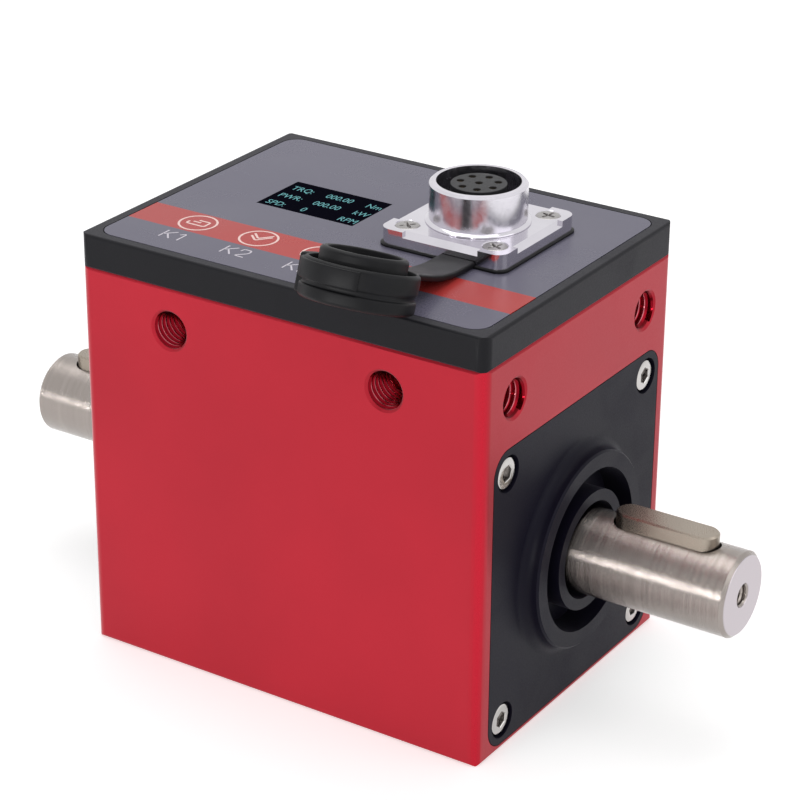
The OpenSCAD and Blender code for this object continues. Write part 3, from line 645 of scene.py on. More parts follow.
@dataclass(frozen=True)
class PixelGlow(Finish):
    """Lit letters of the display, drawn in dots."""

    colour: Colour = (0.12, 0.75, 0.72)
    strength: float = 0.9

    def paint(self, paint: Paint) -> None:
        """Glows by dots with dark lines between them.

        Args:
            paint: material in the making.
        """
        flow = paint.flow
        lit = paint.effect("pixel_grid", {"Dots": 5300.0}).outputs["Lit"]
        glow = paint.mottle(lit, self.colour, 0.35, 1.0)
        paint.set(Base_Color=flow.blend(lit, (0.0, 0.01, 0.01, 1.0), (0.01, 0.03, 0.03, 1.0)))
        paint.set(Emission_Color=glow, Emission_Strength=self.strength, Roughness=0.4)


@dataclass(frozen=True)
class CircuitBoard(Finish):
    """Green solder mask over copper tracks."""

    def paint(self, paint: Paint) -> None:
        """Draws lanes of tracks that show through the mask.

        Args:
            paint: material in the making.
        """
        flow = paint.flow
        lanes = flow.add("ShaderNodeTexVoronoi", {"Vector": paint.place, "Scale": 260.0},
                         distance="MANHATTAN", feature="F1")
        track = flow.span(lanes.outputs[0], 0.28, 0.34)
        grain = paint.effect("fine_grain", {"Grain Scale": 2500.0, "Cloud Scale": 60.0})
        paint.set(Base_Color=flow.blend(track, (0.01, 0.12, 0.04, 1.0), (0.02, 0.2, 0.07, 1.0)))
        paint.set(Roughness=paint.fleck(grain.outputs["Grain"], 0.28, 0.4))
        paint.relief(track, 0.00004, 0.6)


@dataclass(frozen=True)
class WoundWire(Finish):
    """Enamelled copper wire laid side by side round the shaft."""

    wire: float = 0.3 * MM

    def paint(self, paint: Paint) -> None:
        """Rounds each turn of wire across its width in relief and gloss, with painted shade darkening its
        sides.

        Args:
            paint: material in the making.
        """
        flow = paint.flow
        along = flow.add("ShaderNodeSeparateXYZ", {0: paint.place}).outputs[0]
        turn = flow.math("FRACT", flow.math("DIVIDE", along, self.wire))
        off = flow.math("ABSOLUTE", flow.math("SUBTRACT", turn, 0.5))
        wire_round_and_shade = flow.span(off, 0.0, 0.5, 1.0, 0.0)
        # painted shade: each turn's colour darkens towards its sides
        paint.set(Base_Color=flow.blend(wire_round_and_shade, (0.2, 0.05, 0.015, 1.0), (0.75, 0.3, 0.12, 1.0)))
        paint.set(Metallic=0.8, Roughness=flow.span(wire_round_and_shade, 0.0, 1.0, 0.5, 0.28))
        paint.relief(wire_round_and_shade, 0.0001, 0.8)


RED = Anodised("red_anodised", linear("B62232"), sheen=0.3, corner=(48.25 * MM, 37.0 * MM))
# dark red valleys are painted shade, pale pink crests a painted highlight
THREAD = CutThread("red_thread", linear("7E0E1B"), linear("F29AA4"))
LID_BLACK = Moulded("lid_black", linear("101014"), 0.5, 3000.0, 0.00003, 0.16, 0.2)
COVER_BLACK = Moulded("cover_black", linear("100E1B"), 0.42, 2800.0, 0.00003, 0.1, 0.05)
FILM = OverlayFilm("overlay_film", linear("656274"), linear("BC322D"))
INK_PINK = PrintInk("ink_pink", linear("FAD6D0"))
INK_PALE = PrintInk("ink_pale", linear("D8D2DC"))
GLASS = DisplayGlass("display_black")
GLOW = PixelGlow("display_glow", linear("4CC4CC"), 0.62)
BOARD = CircuitBoard("board_green")
CHIP = Moulded("chip_black", (0.015, 0.015, 0.017), 0.55)
PLUNGER = Moulded("plunger_white", linear("E8E6E0"), 0.45)
SCREW = PlainMetal("screw_steel", linear("C2BFBD"), 0.18)
LID_SCREW = PlainMetal("lid_screw_black", linear("1A1A1C"), 0.45)
FLANGE_SCREW = PlainMetal("flange_screw_steel", linear("A29F9E"), 0.28)
CHROME = ShellMetal("connector_chrome", linear("D6D3DA"), 0.12, 1200.0, 0.000003)
INSERT = Moulded("insert_grey", linear("29292B"), 0.5, specular=0.3)
GOLD = PlainMetal("contact_gold", linear("C9A860"), 0.25)
RUBBER = Rubber("cap_rubber")
SHAFT = TurnedMetal("shaft_steel", linear("9E9691"), 0.12, depth=0.00002, faced=linear("B9B1B6"),
                    faced_from=86.2 * MM)
KEY = PlainMetal("key_steel", linear("A0968A"), 0.28, 5000.0, 0.000001)
BEARING = PlainMetal("bearing_steel", linear("C6C6CA"), 0.18)
BRASS = PlainMetal("cage_brass", linear("B08D57"), 0.32)
FORMER = Moulded("former_plastic", linear("D8D4C4"), 0.5)
COPPER = WoundWire("coil_copper")
DISC = TurnedMetal("disc_steel", linear("8A8E96"), 0.35, 9000.0, 0.000004)
GAUGE = Moulded("gauge_film", linear("C08040"), 0.4)


@dataclass
class Shape:
    """Mesh in the making, in millimetres."""

    verts: list[Vector] = field(default_factory=list)
    faces: list[tuple[int, ...]] = field(default_factory=list)

    def add(self, other: "Shape") -> "Shape":
        """Appends another shape and returns this one."""
        first = len(self.verts)
        self.verts += other.verts
        self.faces += [tuple(i + first for i in f) for f in other.faces]
        return self

    def moved(self, matrix: Matrix) -> "Shape":
        """Returns a copy of the shape put in place by a matrix."""
        return Shape([matrix @ v for v in self.verts], list(self.faces))

    def build(self, name: str, sharp: float = 35.0, closed: bool = True) -> bpy.types.Object:
        """Makes the object, with its place in its mesh.

        Args:
            name: name of the object.
            sharp: angle in degrees past which an edge stays crisp.
            closed: whether the normals are turned outwards as on a closed body.

        Returns:
            The new object, linked to the scene.
        """
        mesh = bpy.data.meshes.new(name)
        mesh.from_pydata([v * MM for v in self.verts], [], self.faces)
        net = bmesh.new()
        net.from_mesh(mesh)
        bmesh.ops.remove_doubles(net, verts=net.verts, dist=1e-7)
        if closed:
            bmesh.ops.recalc_face_normals(net, faces=net.faces)
        return finish_net(net, mesh, name, sharp)


def finish_net(net: bmesh.types.BMesh, mesh: bpy.types.Mesh, name: str, sharp: float) -> bpy.types.Object:
    """Shades a net smooth with crisp edges, and makes its object.

    Args:
        net: the edited mesh, freed here.
        mesh: the mesh that takes it.
        name: name of the object.
        sharp: angle in degrees past which an edge stays crisp.

    Returns:
        The new object, linked to the scene.
    """
    for face in net.faces:
        face.smooth = True
    for edge in net.edges:
        edge.smooth = len(edge.link_faces) == 2 and edge.calc_face_angle(0.0) < math.radians(sharp)
    net.to_mesh(mesh)
    net.free()
    if "custom_normal" in mesh.attributes:
        mesh.attributes.remove(mesh.attributes["custom_normal"])
    obj = bpy.data.objects.new(name, mesh)
    bpy.context.scene.collection.objects.link(obj)
    return obj


def crisp_copy(node: bpy.types.Object, name: str, bevel: float = 0.0,
               sharp: float = 32.0) -> bpy.types.Object:
    """Copies a node's solid as one merged mesh with clean shading and, where asked, eased edges.

    Args:
        node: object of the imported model.
        name: name of the copy.
        bevel: width of the eased edges in millimetres, 0 for none.
        sharp: angle in degrees past which an edge stays crisp.

    Returns:
        The copy, linked to the scene.
    """
    net = bmesh.new()
    net.from_mesh(node.data)
    bmesh.ops.remove_doubles(net, verts=net.verts, dist=2e-6)
    bmesh.ops.dissolve_degenerate(net, edges=net.edges, dist=1e-7)
    obj = finish_net(net, bpy.data.meshes.new(name), name, sharp)
    if bevel:
        ease = obj.modifiers.new("eased_edges", "BEVEL")
        ease.width = bevel * MM
        ease.segments = 2
        ease.limit_method = "ANGLE"
        ease.angle_limit = math.radians(40)
        ease.use_clamp_overlap = False
        ease.miter_outer = "MITER_ARC"
    weigh = obj.modifiers.new("flat_faces", "WEIGHTED_NORMAL")
    weigh.keep_sharp = True
    return obj


def settle(obj: bpy.types.Object, body: Body, finish: Finish, slot: str, *nodes: str) -> None:
    """Gives a piece its finish, puts it on its body and hides the solids that it stands for.

    Args:
        obj: the finished piece.
        body: body that carries it.
        finish: its surface.
        slot: material slot in the record, not used.
        nodes: solids that it stands for.
    """
    obj.data.materials.clear()
    obj.data.materials.append(finish.material())
    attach(obj, body.value)
    if nodes:
        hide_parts(*nodes)
    LOG.info("piece %s on %s, %d faces", obj.name, body.value, len(obj.data.polygons))


def arc_corner(line: Sequence[Point2], radius: float, steps: int = 4) -> list[Point2]:
    """Rounds the inner corners of an open line.

    Args:
        line: points of the line.
        radius: radius asked for, cut down where a side is short.
        steps: parts of each arc.

    Returns:
        Points of the rounded line.
    """
    points = [Vector(p) for p in line]
    out = [points[0]]
    for before, here, after in zip(points, points[1:], points[2:]):
        cut = min(radius, (here - before).length * 0.45, (after - here).length * 0.45)
        start = here + (before - here).normalized() * cut
        end = here + (after - here).normalized() * cut
        for i in range(steps + 1):
            t = i / steps
            out.append(start * (1 - t) ** 2 + here * (2 * t * (1 - t)) + end * t ** 2)
    out.append(points[-1])
    return [(p.x, p.y) for p in out]


def turned(profile: Sequence[Point2], steps: int = 96) -> Shape:
    """Turns a profile of radius and height about Z.

    Args:
        profile: points as radius and height; a zero radius closes on the axis.
        steps: parts of the circle.

    Returns:
        The turned shape.
    """
    shape = Shape()
    for i in range(steps):
        a = 2 * math.pi * i / steps
        shape.verts += [Vector((r * math.cos(a), r * math.sin(a), z)) for r, z in profile]
    rows = len(profile)
    for i in range(steps):
        j = (i + 1) % steps
        for k in range(rows - 1):
            corners = [i * rows + k, j * rows + k, j * rows + k + 1, i * rows + k + 1]
            if profile[k][0] == 0:
                corners.pop(1)
            elif profile[k + 1][0] == 0:
                corners.pop(2)
            shape.faces.append(tuple(corners))
    return shape


def lofted(rings: Sequence[Sequence[Vector]], caps: bool = True) -> Shape:
    """Joins closed rings of equal length into a skin.

    Args:
        rings: rings of points in order.
        caps: whether the first and last ring are filled.

    Returns:
        The lofted shape.
    """
    count = len(rings[0])
    shape = Shape([p.copy() for ring in rings for p in ring])
    for k in range(len(rings) - 1):
        for i in range(count):
            j = (i + 1) % count
            shape.faces.append((k * count + i, k * count + j, (k + 1) * count + j, (k + 1) * count + i))
    if caps:
        shape.faces.append(tuple(reversed(range(count))))
        shape.faces.append(tuple(range((len(rings) - 1) * count, len(rings) * count)))
    return shape


def round_square(half: float, radius: float, per_corner: int = 8) -> list[Vector]:
    """Outline of a square with round corners, centred, in the XY plane.

    Args:
        half: half of its side.
        radius: radius of its corners.
        per_corner: parts of each corner.

    Returns:
        Points in order, starting at the middle of the +X side's corner.
    """
    points = []
    for k in range(4):
        turn = math.pi / 2 * k
        centre = Matrix.Rotation(turn, 3, "Z") @ Vector((half - radius, half - radius, 0))
        for i in range(per_corner + 1):
            a = turn + math.pi / 2 * i / per_corner
            points.append(centre + Vector((math.cos(a), math.sin(a), 0)) * radius)
    return points


def stroke(points: Sequence[Point2], width: float, closed: bool = False) -> Shape:
    """Flat line of even width with mitred bends, in the XY plane.

    Args:
        points: points of the line.
        width: its width.
        closed: whether the end joins the start.

    Returns:
        The flat shape.
    """
    line = [Vector((x, y, 0)) for x, y in points]
    count = len(line)
    shape = Shape()
    for i, here in enumerate(line):
        before = line[i - 1] if i or closed else here
        after = line[(i + 1) % count] if i < count - 1 or closed else here
        ways = [d.normalized() for d in (here - before, after - here) if d.length > 0]
        along = sum(ways, Vector()).normalized()
        side = Vector((-along.y, along.x, 0))
        lean = max(0.5, side.dot(Vector((-ways[0].y, ways[0].x, 0))))
        shape.verts += [here + side * width / 2 / lean, here - side * width / 2 / lean]
    for i in range(count if closed else count - 1):
        j = (i + 1) % count
        shape.faces.append((2 * i + 1, 2 * j + 1, 2 * j, 2 * i))
    return shape


def lettering(words: str, height: float, squeeze: float = 1.0) -> Shape:
    """Flat letters with their base line on X, from X = 0.

    Args:
        words: plain characters.
        height: height of a capital letter.
        squeeze: width against the letters' usual width.

    Returns:
        The letters as flat faces.
    """
    curve = bpy.data.curves.new("letters", "FONT")
    curve.body = words
    curve.resolution_u = 3
    holder = bpy.data.objects.new("letters", curve)
    bpy.context.scene.collection.objects.link(holder)
    depsgraph = bpy.context.evaluated_depsgraph_get()
    mesh = bpy.data.meshes.new_from_object(holder.evaluated_get(depsgraph))
    scale = height / CAPITAL
    size = Vector((scale * squeeze, scale, scale))
    shape = Shape([v.co * size for v in mesh.vertices], [tuple(p.vertices) for p in mesh.polygons])
    bpy.data.objects.remove(holder)
    bpy.data.meshes.remove(mesh)
    return shape


@dataclass
class Seats:
    """Points where a repeated piece sits, each with the way that it faces."""

    points: list[Vector] = field(default_factory=list)
    ways: list[Vector] = field(default_factory=list)

    def put(self, point: Sequence[float], way: Sequence[float]) -> None:
        """Adds one seat, its point in millimetres."""
        self.points.append(Vector(point) * MM)
        self.ways.append(Vector(way))

    def grow(self, name: str, tree: bpy.types.NodeTree, values: dict[str, Any]) -> bpy.types.Object:
        """Runs a node tree on the seats and keeps its result as a plain mesh.

        Args:
            name: name of the piece.
            tree: geometry node tree.
            values: its inputs by name.

        Returns:
            The piece, linked to the scene, without its modifier.
        """
        mesh = bpy.data.meshes.new(name + "_seats")
        mesh.from_pydata(self.points, [], [])
        facing = mesh.attributes.new(FACING, "FLOAT_VECTOR", "POINT")
        facing.data.foreach_set("vector", [c for way in self.ways for c in way])
        obj = bpy.data.objects.new(name, mesh)
        modifier = obj.modifiers.new("repeat", "NODES")
        modifier.node_group = tree
        for item in tree.interface.items_tree:
            if item.in_out == "INPUT" and item.name in values:
                modifier[item.identifier] = values[item.name]
        bpy.context.scene.collection.objects.link(obj)
        depsgraph = bpy.context.evaluated_depsgraph_get()
        plain = bpy.data.meshes.new_from_object(obj.evaluated_get(depsgraph))
        obj.modifiers.remove(modifier)
        obj.data = plain
        plain.name = name
        bpy.data.meshes.remove(mesh)
        return obj


class Repeats:
    """Geometry node trees for what repeats on this object.

    The shares of a thread are of one pitch across its ridge, and of its whole length along it.
    """

    thread_rows: int = 7
    thread_flat: float = 0.08
    thread_foot: float = 0.46
    thread_run: float = 0.06
    thread_clear: float = 0.01 * MM
    thread_start: float = 0.6

    @staticmethod
    def _on_seats(flow: Flow, start: bpy.types.Node, instance: Socket, spin: Any) -> None:
        """Puts an instance on each seat, turned to face its way, and ends the tree.

        Args:
            flow: nodes of the tree.
            start: group input, with Geometry and Finish sockets.
            instance: geometry that is repeated.
            spin: angle about its own axis.
        """
        facing = flow.add("GeometryNodeInputNamedAttribute", {"Name": FACING}, data_type="FLOAT_VECTOR")
        aim = flow.add("FunctionNodeAlignRotationToVector", {"Vector": facing.outputs[0]}, axis="Z")
        own = flow.add("FunctionNodeAxisAngleToRotation", {"Axis": (0, 0, 1), "Angle": spin})
        both = flow.add("FunctionNodeRotateRotation",
                        {0: aim.outputs[0], 1: own.outputs[0]}, rotation_space="LOCAL")
        placed = flow.add("GeometryNodeInstanceOnPoints", {
            "Points": start.outputs["Geometry"], "Instance": instance, "Rotation": both.outputs[0]})
        real = flow.add("GeometryNodeRealizeInstances", {0: placed.outputs[0]})
        dressed = flow.add("GeometryNodeSetMaterial", {
            "Geometry": real.outputs[0], "Material": start.outputs["Finish"]})
        flow.add("NodeGroupOutput", {0: dressed.outputs[0]})

    @classmethod
    def screw_set(cls) -> bpy.types.NodeTree:
        """Tree that seats one screw on every point, each turned by chance from a fixed seed.

        Returns:
            The node tree.
        """
        tree = new_group("screw_set", "GeometryNodeTree", [
            Port("Geometry", "NodeSocketGeometry", out=True), Port("Geometry", "NodeSocketGeometry"),
            Port("Screw", "NodeSocketObject"), Port("Spin", value=1.0),
            Port("Seed", "NodeSocketInt", 3), Port("Finish", "NodeSocketMaterial")])
        flow = Flow(tree)
        start = flow.add("NodeGroupInput")
        pattern = flow.add("GeometryNodeObjectInfo", {"Object": start.outputs["Screw"]})
        chance = flow.add("FunctionNodeRandomValue", data_type="FLOAT")
        flow.feed(chance.inputs[2], 0.0)
        flow.feed(chance.inputs[3], start.outputs["Spin"])
        flow.feed(chance.inputs["Seed"], start.outputs["Seed"])
        cls._on_seats(flow, start, pattern.outputs["Geometry"], chance.outputs[1])
        return tree

    @classmethod
    def thread_set(cls) -> bpy.types.NodeTree:
        """Tree that winds one thread ridge down from every point, inside a hole.

        Returns:
            The node tree.
        """
        tree = new_group("thread_set", "GeometryNodeTree", [
            Port("Geometry", "NodeSocketGeometry", out=True), Port("Geometry", "NodeSocketGeometry"),
            Port("Radius", value=0.004), Port("Ridge", value=0.0006), Port("Pitch", value=0.00125),
            Port("Length", value=0.009), Port("Steps", "NodeSocketInt", 220),
            Port("Finish", "NodeSocketMaterial")])
        flow = Flow(tree)
        start = flow.add("NodeGroupInput")
        size = start.outputs
        grid = flow.add("GeometryNodeMeshGrid", {
            "Size X": 1.0, "Size Y": 1.0, "Vertices X": size["Steps"], "Vertices Y": cls.thread_rows})
        parts = flow.add("ShaderNodeSeparateXYZ", {0: flow.add("GeometryNodeInputPosition").outputs[0]})
        along = flow.math("ADD", parts.outputs[0], 0.5)
        across = parts.outputs[1]
        turns = flow.math("DIVIDE", size["Length"], size["Pitch"])
        angle = flow.math("MULTIPLY", flow.math("MULTIPLY", along, turns), 2 * math.pi)
        flank = flow.span(flow.math("ABSOLUTE", across), cls.thread_flat, cls.thread_foot, 1.0, 0.0)
        run_in = flow.span(along, 0.0, cls.thread_run)
        run_out = flow.span(along, 1.0 - cls.thread_run, 1.0, 1.0, 0.0)
        crest = flow.math("MULTIPLY", flank, flow.math("MULTIPLY", run_in, run_out))
        rise = flow.math("MULTIPLY", crest, size["Ridge"])
        radius = flow.math("SUBTRACT", flow.math("ADD", size["Radius"], cls.thread_clear), rise)
        down = flow.math("SUBTRACT", flow.math("MULTIPLY", across, size["Pitch"]),
                         flow.math("MULTIPLY", along, size["Length"]))
        place = flow.add("ShaderNodeCombineXYZ", {
            0: flow.math("MULTIPLY", radius, flow.math("COSINE", angle)),
            1: flow.math("MULTIPLY", radius, flow.math("SINE", angle)), 2: down})
        # crest height is kept for the thread finish's painted shade and highlight
        marked = flow.add("GeometryNodeStoreNamedAttribute", {
            "Geometry": grid.outputs["Mesh"], "Name": CREST, "Value": crest},
            data_type="FLOAT", domain="POINT")
        wound = flow.add("GeometryNodeSetPosition", {
            "Geometry": marked.outputs[0], "Position": place.outputs[0]})
        faced = flow.add("GeometryNodeFlipFaces", {"Mesh": wound.outputs[0]})
        smooth = flow.add("GeometryNodeSetShadeSmooth", {
            "Geometry": faced.outputs[0], "Shade Smooth": True})
        cls._on_seats(flow, start, smooth.outputs[0], cls.thread_start)
        return tree


@dataclass
class ScrewHead:
    """One screw head with its recess, facing +Z with its top at Z = 0."""

    drive: Drive
    radius: float
    height: float
    edge: float
    recess: float
    depth: float
    lip: float = 0.14
    steps: int = 72

    def outline(self, angle: float) -> float:
        """Radius of the recess at an angle about the screw."""
        if self.drive is Drive.HEXAGON:
            sector = (angle % (math.pi / 3)) - math.pi / 6
            return self.recess / 2 / math.cos(sector)
        arm = abs((angle + math.pi / 4) % (math.pi / 2) - math.pi / 4)
        flank = self.recess / 5.2 / max(math.sin(arm), 1e-6)
        return min(self.recess, flank)

    def ring(self, z: float, radius: float = 0.0, share: float = 0.0, grow: float = 0.0) -> list[Vector]:
        """Ring at a height, round by a radius or shaped as the recess by a share."""
        points = []
        for i in range(self.steps):
            a = 2 * math.pi * i / self.steps
            r = radius if not share else self.outline(a) * share + grow
            points.append(Vector((r * math.cos(a), r * math.sin(a), z)))
        return points

    def pattern(self) -> bpy.types.Object:
        """Makes the head as an object for the repeat; it is removed afterwards.

        Returns:
            The head, linked to the scene.
        """
        e = self.edge
        foot = self.radius if self.drive is Drive.HEXAGON else self.radius * 0.55
        taper = 1.0 if self.drive is Drive.HEXAGON else 0.72
        rings = [
            self.ring(-self.height, foot), self.ring(-e, self.radius),
            self.ring(-e * 0.3, self.radius - e * 0.3),
            self.ring(0.0, self.radius - e), self.ring(0.0, share=1.0, grow=self.lip),
            self.ring(-self.lip, share=1.0), self.ring(-self.depth, share=taper),
            self.ring(-self.depth * 1.15, share=0.25)]
        return lofted(rings).build("screw_pattern", 40.0)


@dataclass
class ScrewRow:
    """Screws of one kind on one body."""

    name: str
    head: ScrewHead
    seats: Seats
    nodes: tuple[str, ...]
    seed: int = 3
    finish: Finish = SCREW
    spin: float = 1.4

    def build(self) -> None:
        """Seats the heads and puts the row on the fixed body."""
        pattern = self.head.pattern()
        tree = bpy.data.node_groups.get("screw_set") or Repeats.screw_set()
        obj = self.seats.grow(self.name, tree, {
            "Screw": pattern, "Spin": self.spin, "Seed": self.seed, "Finish": self.finish.material()})
        bpy.data.objects.remove(pattern)
        settle(obj, Body.FIXED, self.finish, "screw_steel", *self.nodes)


@dataclass
class ThreadRow:
    """Thread ridges of equal holes on one body."""

    name: str
    seats: Seats
    radius: float
    ridge: float
    pitch: float
    length: float
    body: Body
    finish: Finish
    slot: str
    per_turn: int = 32

    def build(self) -> None:
        """Winds the ridges and puts them on their body."""
        tree = bpy.data.node_groups.get("thread_set") or Repeats.thread_set()
        obj = self.seats.grow(self.name, tree, {
            "Radius": self.radius * MM, "Ridge": self.ridge * MM, "Pitch": self.pitch * MM,
            "Length": self.length * MM, "Steps": int(self.length / self.pitch * self.per_turn),
            "Finish": self.finish.material()})
        settle(obj, self.body, self.finish, self.slot)


@dataclass
class Housing:
    """Red block with its tapped holes."""

    nodes: dict[str, bpy.types.Object]
    half_l: float = 48.25
    half_w: float = 37.0
    hole_z: float = 77.0
    hole_y: float = 25.75
    hole_r: float = 4.0
    mouth: float = 0.7
    base_x: float = 22.0
    base_y: float = 25.0
    base_r: float = 2.5

    def build(self) -> None:
        """Makes the block and winds threads into its side and base holes."""
        block = crisp_copy(self.nodes["housing"], "housing_block")
        settle(block, Body.FIXED, RED, "red_anodised", "housing")
        side = Seats()
        base = Seats()
        for s in (-1, 1):
            for t in (-1, 1):
                side.put((s * (self.half_l - self.mouth), t * self.hole_y, self.hole_z), (s, 0, 0))
                side.put((t * self.hole_y, s * (self.half_w - self.mouth), self.hole_z), (0, s, 0))
                base.put((s * self.base_x, t * self.base_y, self.mouth), (0, 0, -1))
        ThreadRow("side_threads", side, radius=self.hole_r, ridge=0.62, pitch=1.25, length=8.6,
                  body=Body.FIXED, finish=THREAD, slot="red_anodised").build()
        ThreadRow("base_threads", base, radius=self.base_r, ridge=0.45, pitch=1.0, length=7.0,
                  body=Body.FIXED, finish=THREAD, slot="red_anodised").build()


@dataclass
class LidPanel:
    """Black lid with its printed overlay, display and key marks."""

    nodes: dict[str, bpy.types.Object]
    top_z: float = 93.2
    lift: float = 0.02
    key_x: tuple[float, ...] = (-31.4, -16.2, -1.0)
    key_y: float = -19.2
    ring_r: float = 3.95
    line: float = 0.48
    thin: float = 0.36
    label_h: float = 3.7
    label_y: float = -29.3
    label_shift: float = -2.4
    label_step: float = 0.92
    label_bend: float = 0.9
    sign_bend: float = 0.5
    ring_steps: int = 64
    rows_y: tuple[float, ...] = (7.4, 2.6, -1.9)
    text_h: float = 2.15
    squeeze: float = 0.78
    word_x: float = -27.3
    number_x: float = -18.6
    unit_end: float = -4.9

    def build(self) -> None:
        """Makes the lid, the overlay and everything printed or lit on it."""
        lid = crisp_copy(self.nodes["lid"], "lid_plate")
        settle(lid, Body.FIXED, LID_BLACK, "lid_black", "lid")
        overlay = crisp_copy(self.nodes["overlay"], "overlay_sheet")
        settle(overlay, Body.FIXED, FILM, "overlay_film", "overlay")
        panel = crisp_copy(self.nodes["display_panel"], "display_window")
        settle(panel, Body.FIXED, GLASS, "display_black", "display_panel")
        self.lay(self.marks(), "key_marks", INK_PINK, "overlay_film")
        self.lay(self.labels(), "key_labels", INK_PALE, "overlay_film")
        self.lay(self.readout(), "display_lines", GLOW, "display_black")

    def lay(self, shape: Shape, name: str, finish: Finish, slot: str) -> None:
        """Lays a flat shape just over the panel."""
        raised = shape.moved(Matrix.Translation((0, 0, self.top_z + self.lift)))
        settle(raised.build(name, closed=False), Body.FIXED, finish, slot)

    def marks(self) -> Shape:
        """Rings round the keys, each with its own plain sign.

        Returns:
            The flat marks.
        """
        signs = (
            ([(-1.4, 0.35), (0.5, 0.35)],
             [(-0.6, 1.35), (2.2, 1.35), (2.2, -1.1), (-2.2, -1.1), (-2.2, 0.2)]),
            ([(-2.2, 0.7), (-0.1, -1.2), (2.2, 1.8)], [(-2.2, 1.9), (-0.1, -0.1), (2.0, 2.6)]),
            ([(-2.2, -0.7), (0.1, 1.2), (2.2, -1.8)], [(-2.2, -1.9), (0.1, 0.1), (2.0, -2.6)]))
        shape = Shape()
        angles = [2 * math.pi * i / self.ring_steps for i in range(self.ring_steps)]
        circle = [(self.ring_r * math.cos(a), self.ring_r * math.sin(a)) for a in angles]
        for x, sign in zip(self.key_x, signs):
            place = Matrix.Translation((x, self.key_y, 0))
            shape.add(stroke(circle, self.line, closed=True).moved(place))
            for line in sign:
                shape.add(stroke(arc_corner(line, self.sign_bend), self.line).moved(place))
        return shape

    def labels(self) -> Shape:
        """Letter and number under each key, in thin strokes.

        Returns:
            The flat labels.
        """
        letter = ([(0.0, 0.0), (0.0, 1.0)], [(0.62, 1.0), (0.02, 0.4)], [(0.2, 0.58), (0.66, 0.0)])
        numbers = (
            ([(0.0, 0.74), (0.3, 1.0), (0.3, 0.0)],),
            ([(0.0, 0.72), (0.06, 1.0), (0.56, 1.0), (0.6, 0.6), (0.0, 0.02), (0.64, 0.02)],),
            ([(0.0, 0.98), (0.6, 0.98), (0.26, 0.6), (0.64, 0.56), (0.6, 0.0), (0.06, 0.0), (0.0, 0.24)],))
        shape = Shape()
        for x, number in zip(self.key_x, numbers):
            for sign, step in ((letter, 0.0), (number, self.label_step)):
                place = Matrix.Translation((x + self.label_shift + step * self.label_h, self.label_y, 0))
                for line in sign:
                    points = [(px * self.label_h, py * self.label_h) for px, py in line]
                    shape.add(stroke(arc_corner(points, self.label_bend), self.thin).moved(place))
        return shape

    def readout(self) -> Shape:
        """Three lines of the display: a short word, a number and a unit.

        Returns:
            The flat letters.
        """
        shape = Shape()
        lines = (("TRQ:", "000.00", "Nm"), ("PWR:", "000.00", "kW"), ("SPD:", "0", "RPM"))
        for y, (word, number, unit) in zip(self.rows_y, lines):
            flats = [lettering(text, self.text_h, self.squeeze) for text in (word, number, unit)]
            width = max(v.x for v in flats[2].verts)
            for flat, x in zip(flats, (self.word_x, self.number_x, self.unit_end - width)):
                shape.add(flat.moved(Matrix.Translation((x, y, 0))))
        return shape


@dataclass
class Connector:
    """Plated flange socket with its insert, contacts and screws."""

    nodes: dict[str, bpy.types.Object]
    x: float = 19.9
    y: float = 6.1
    top_z: float = 97.0
    pitch: float = 20.5
    sunk: float = 0.02

    def build(self) -> None:
        """Makes the shell, the insert with its contacts, and the four flange screws."""
        shell = crisp_copy(self.nodes["connector_shell"], "connector_body")
        settle(shell, Body.FIXED, CHROME, "connector_chrome", "connector_shell")
        edge = arc_corner([(9.8, 0.0), (10.75, 0.0), (10.75, 0.3), (10.0, 0.75), (9.8, 0.75)], 0.2)
        bead = turned(edge + edge[:1]).moved(Matrix.Translation((self.x, self.y, self.top_z)))
        foot = bead.build("barrel_bead")
        settle(foot, Body.FIXED, CHROME, "connector_chrome")
        insert = crisp_copy(self.nodes["connector_insert"], "socket_insert", bevel=0.1)
        settle(insert, Body.FIXED, INSERT, "insert_grey", "connector_insert")
        contacts = crisp_copy(self.nodes["connector_contacts"], "socket_contacts")
        settle(contacts, Body.FIXED, GOLD, "contact_gold", "connector_contacts")
        seats = Seats()
        for s in (-1, 1):
            for t in (-1, 1):
                point = (self.x + s * self.pitch / 2, self.y + t * self.pitch / 2, self.top_z - self.sunk)
                seats.put(point, (0, 0, 1))
        head = ScrewHead(Drive.CROSS, radius=2.55, height=1.1, edge=0.35, recess=1.6, depth=1.0)
        ScrewRow("flange_screws", head, seats, ("connector_screws",), seed=11, finish=FLANGE_SCREW).build()


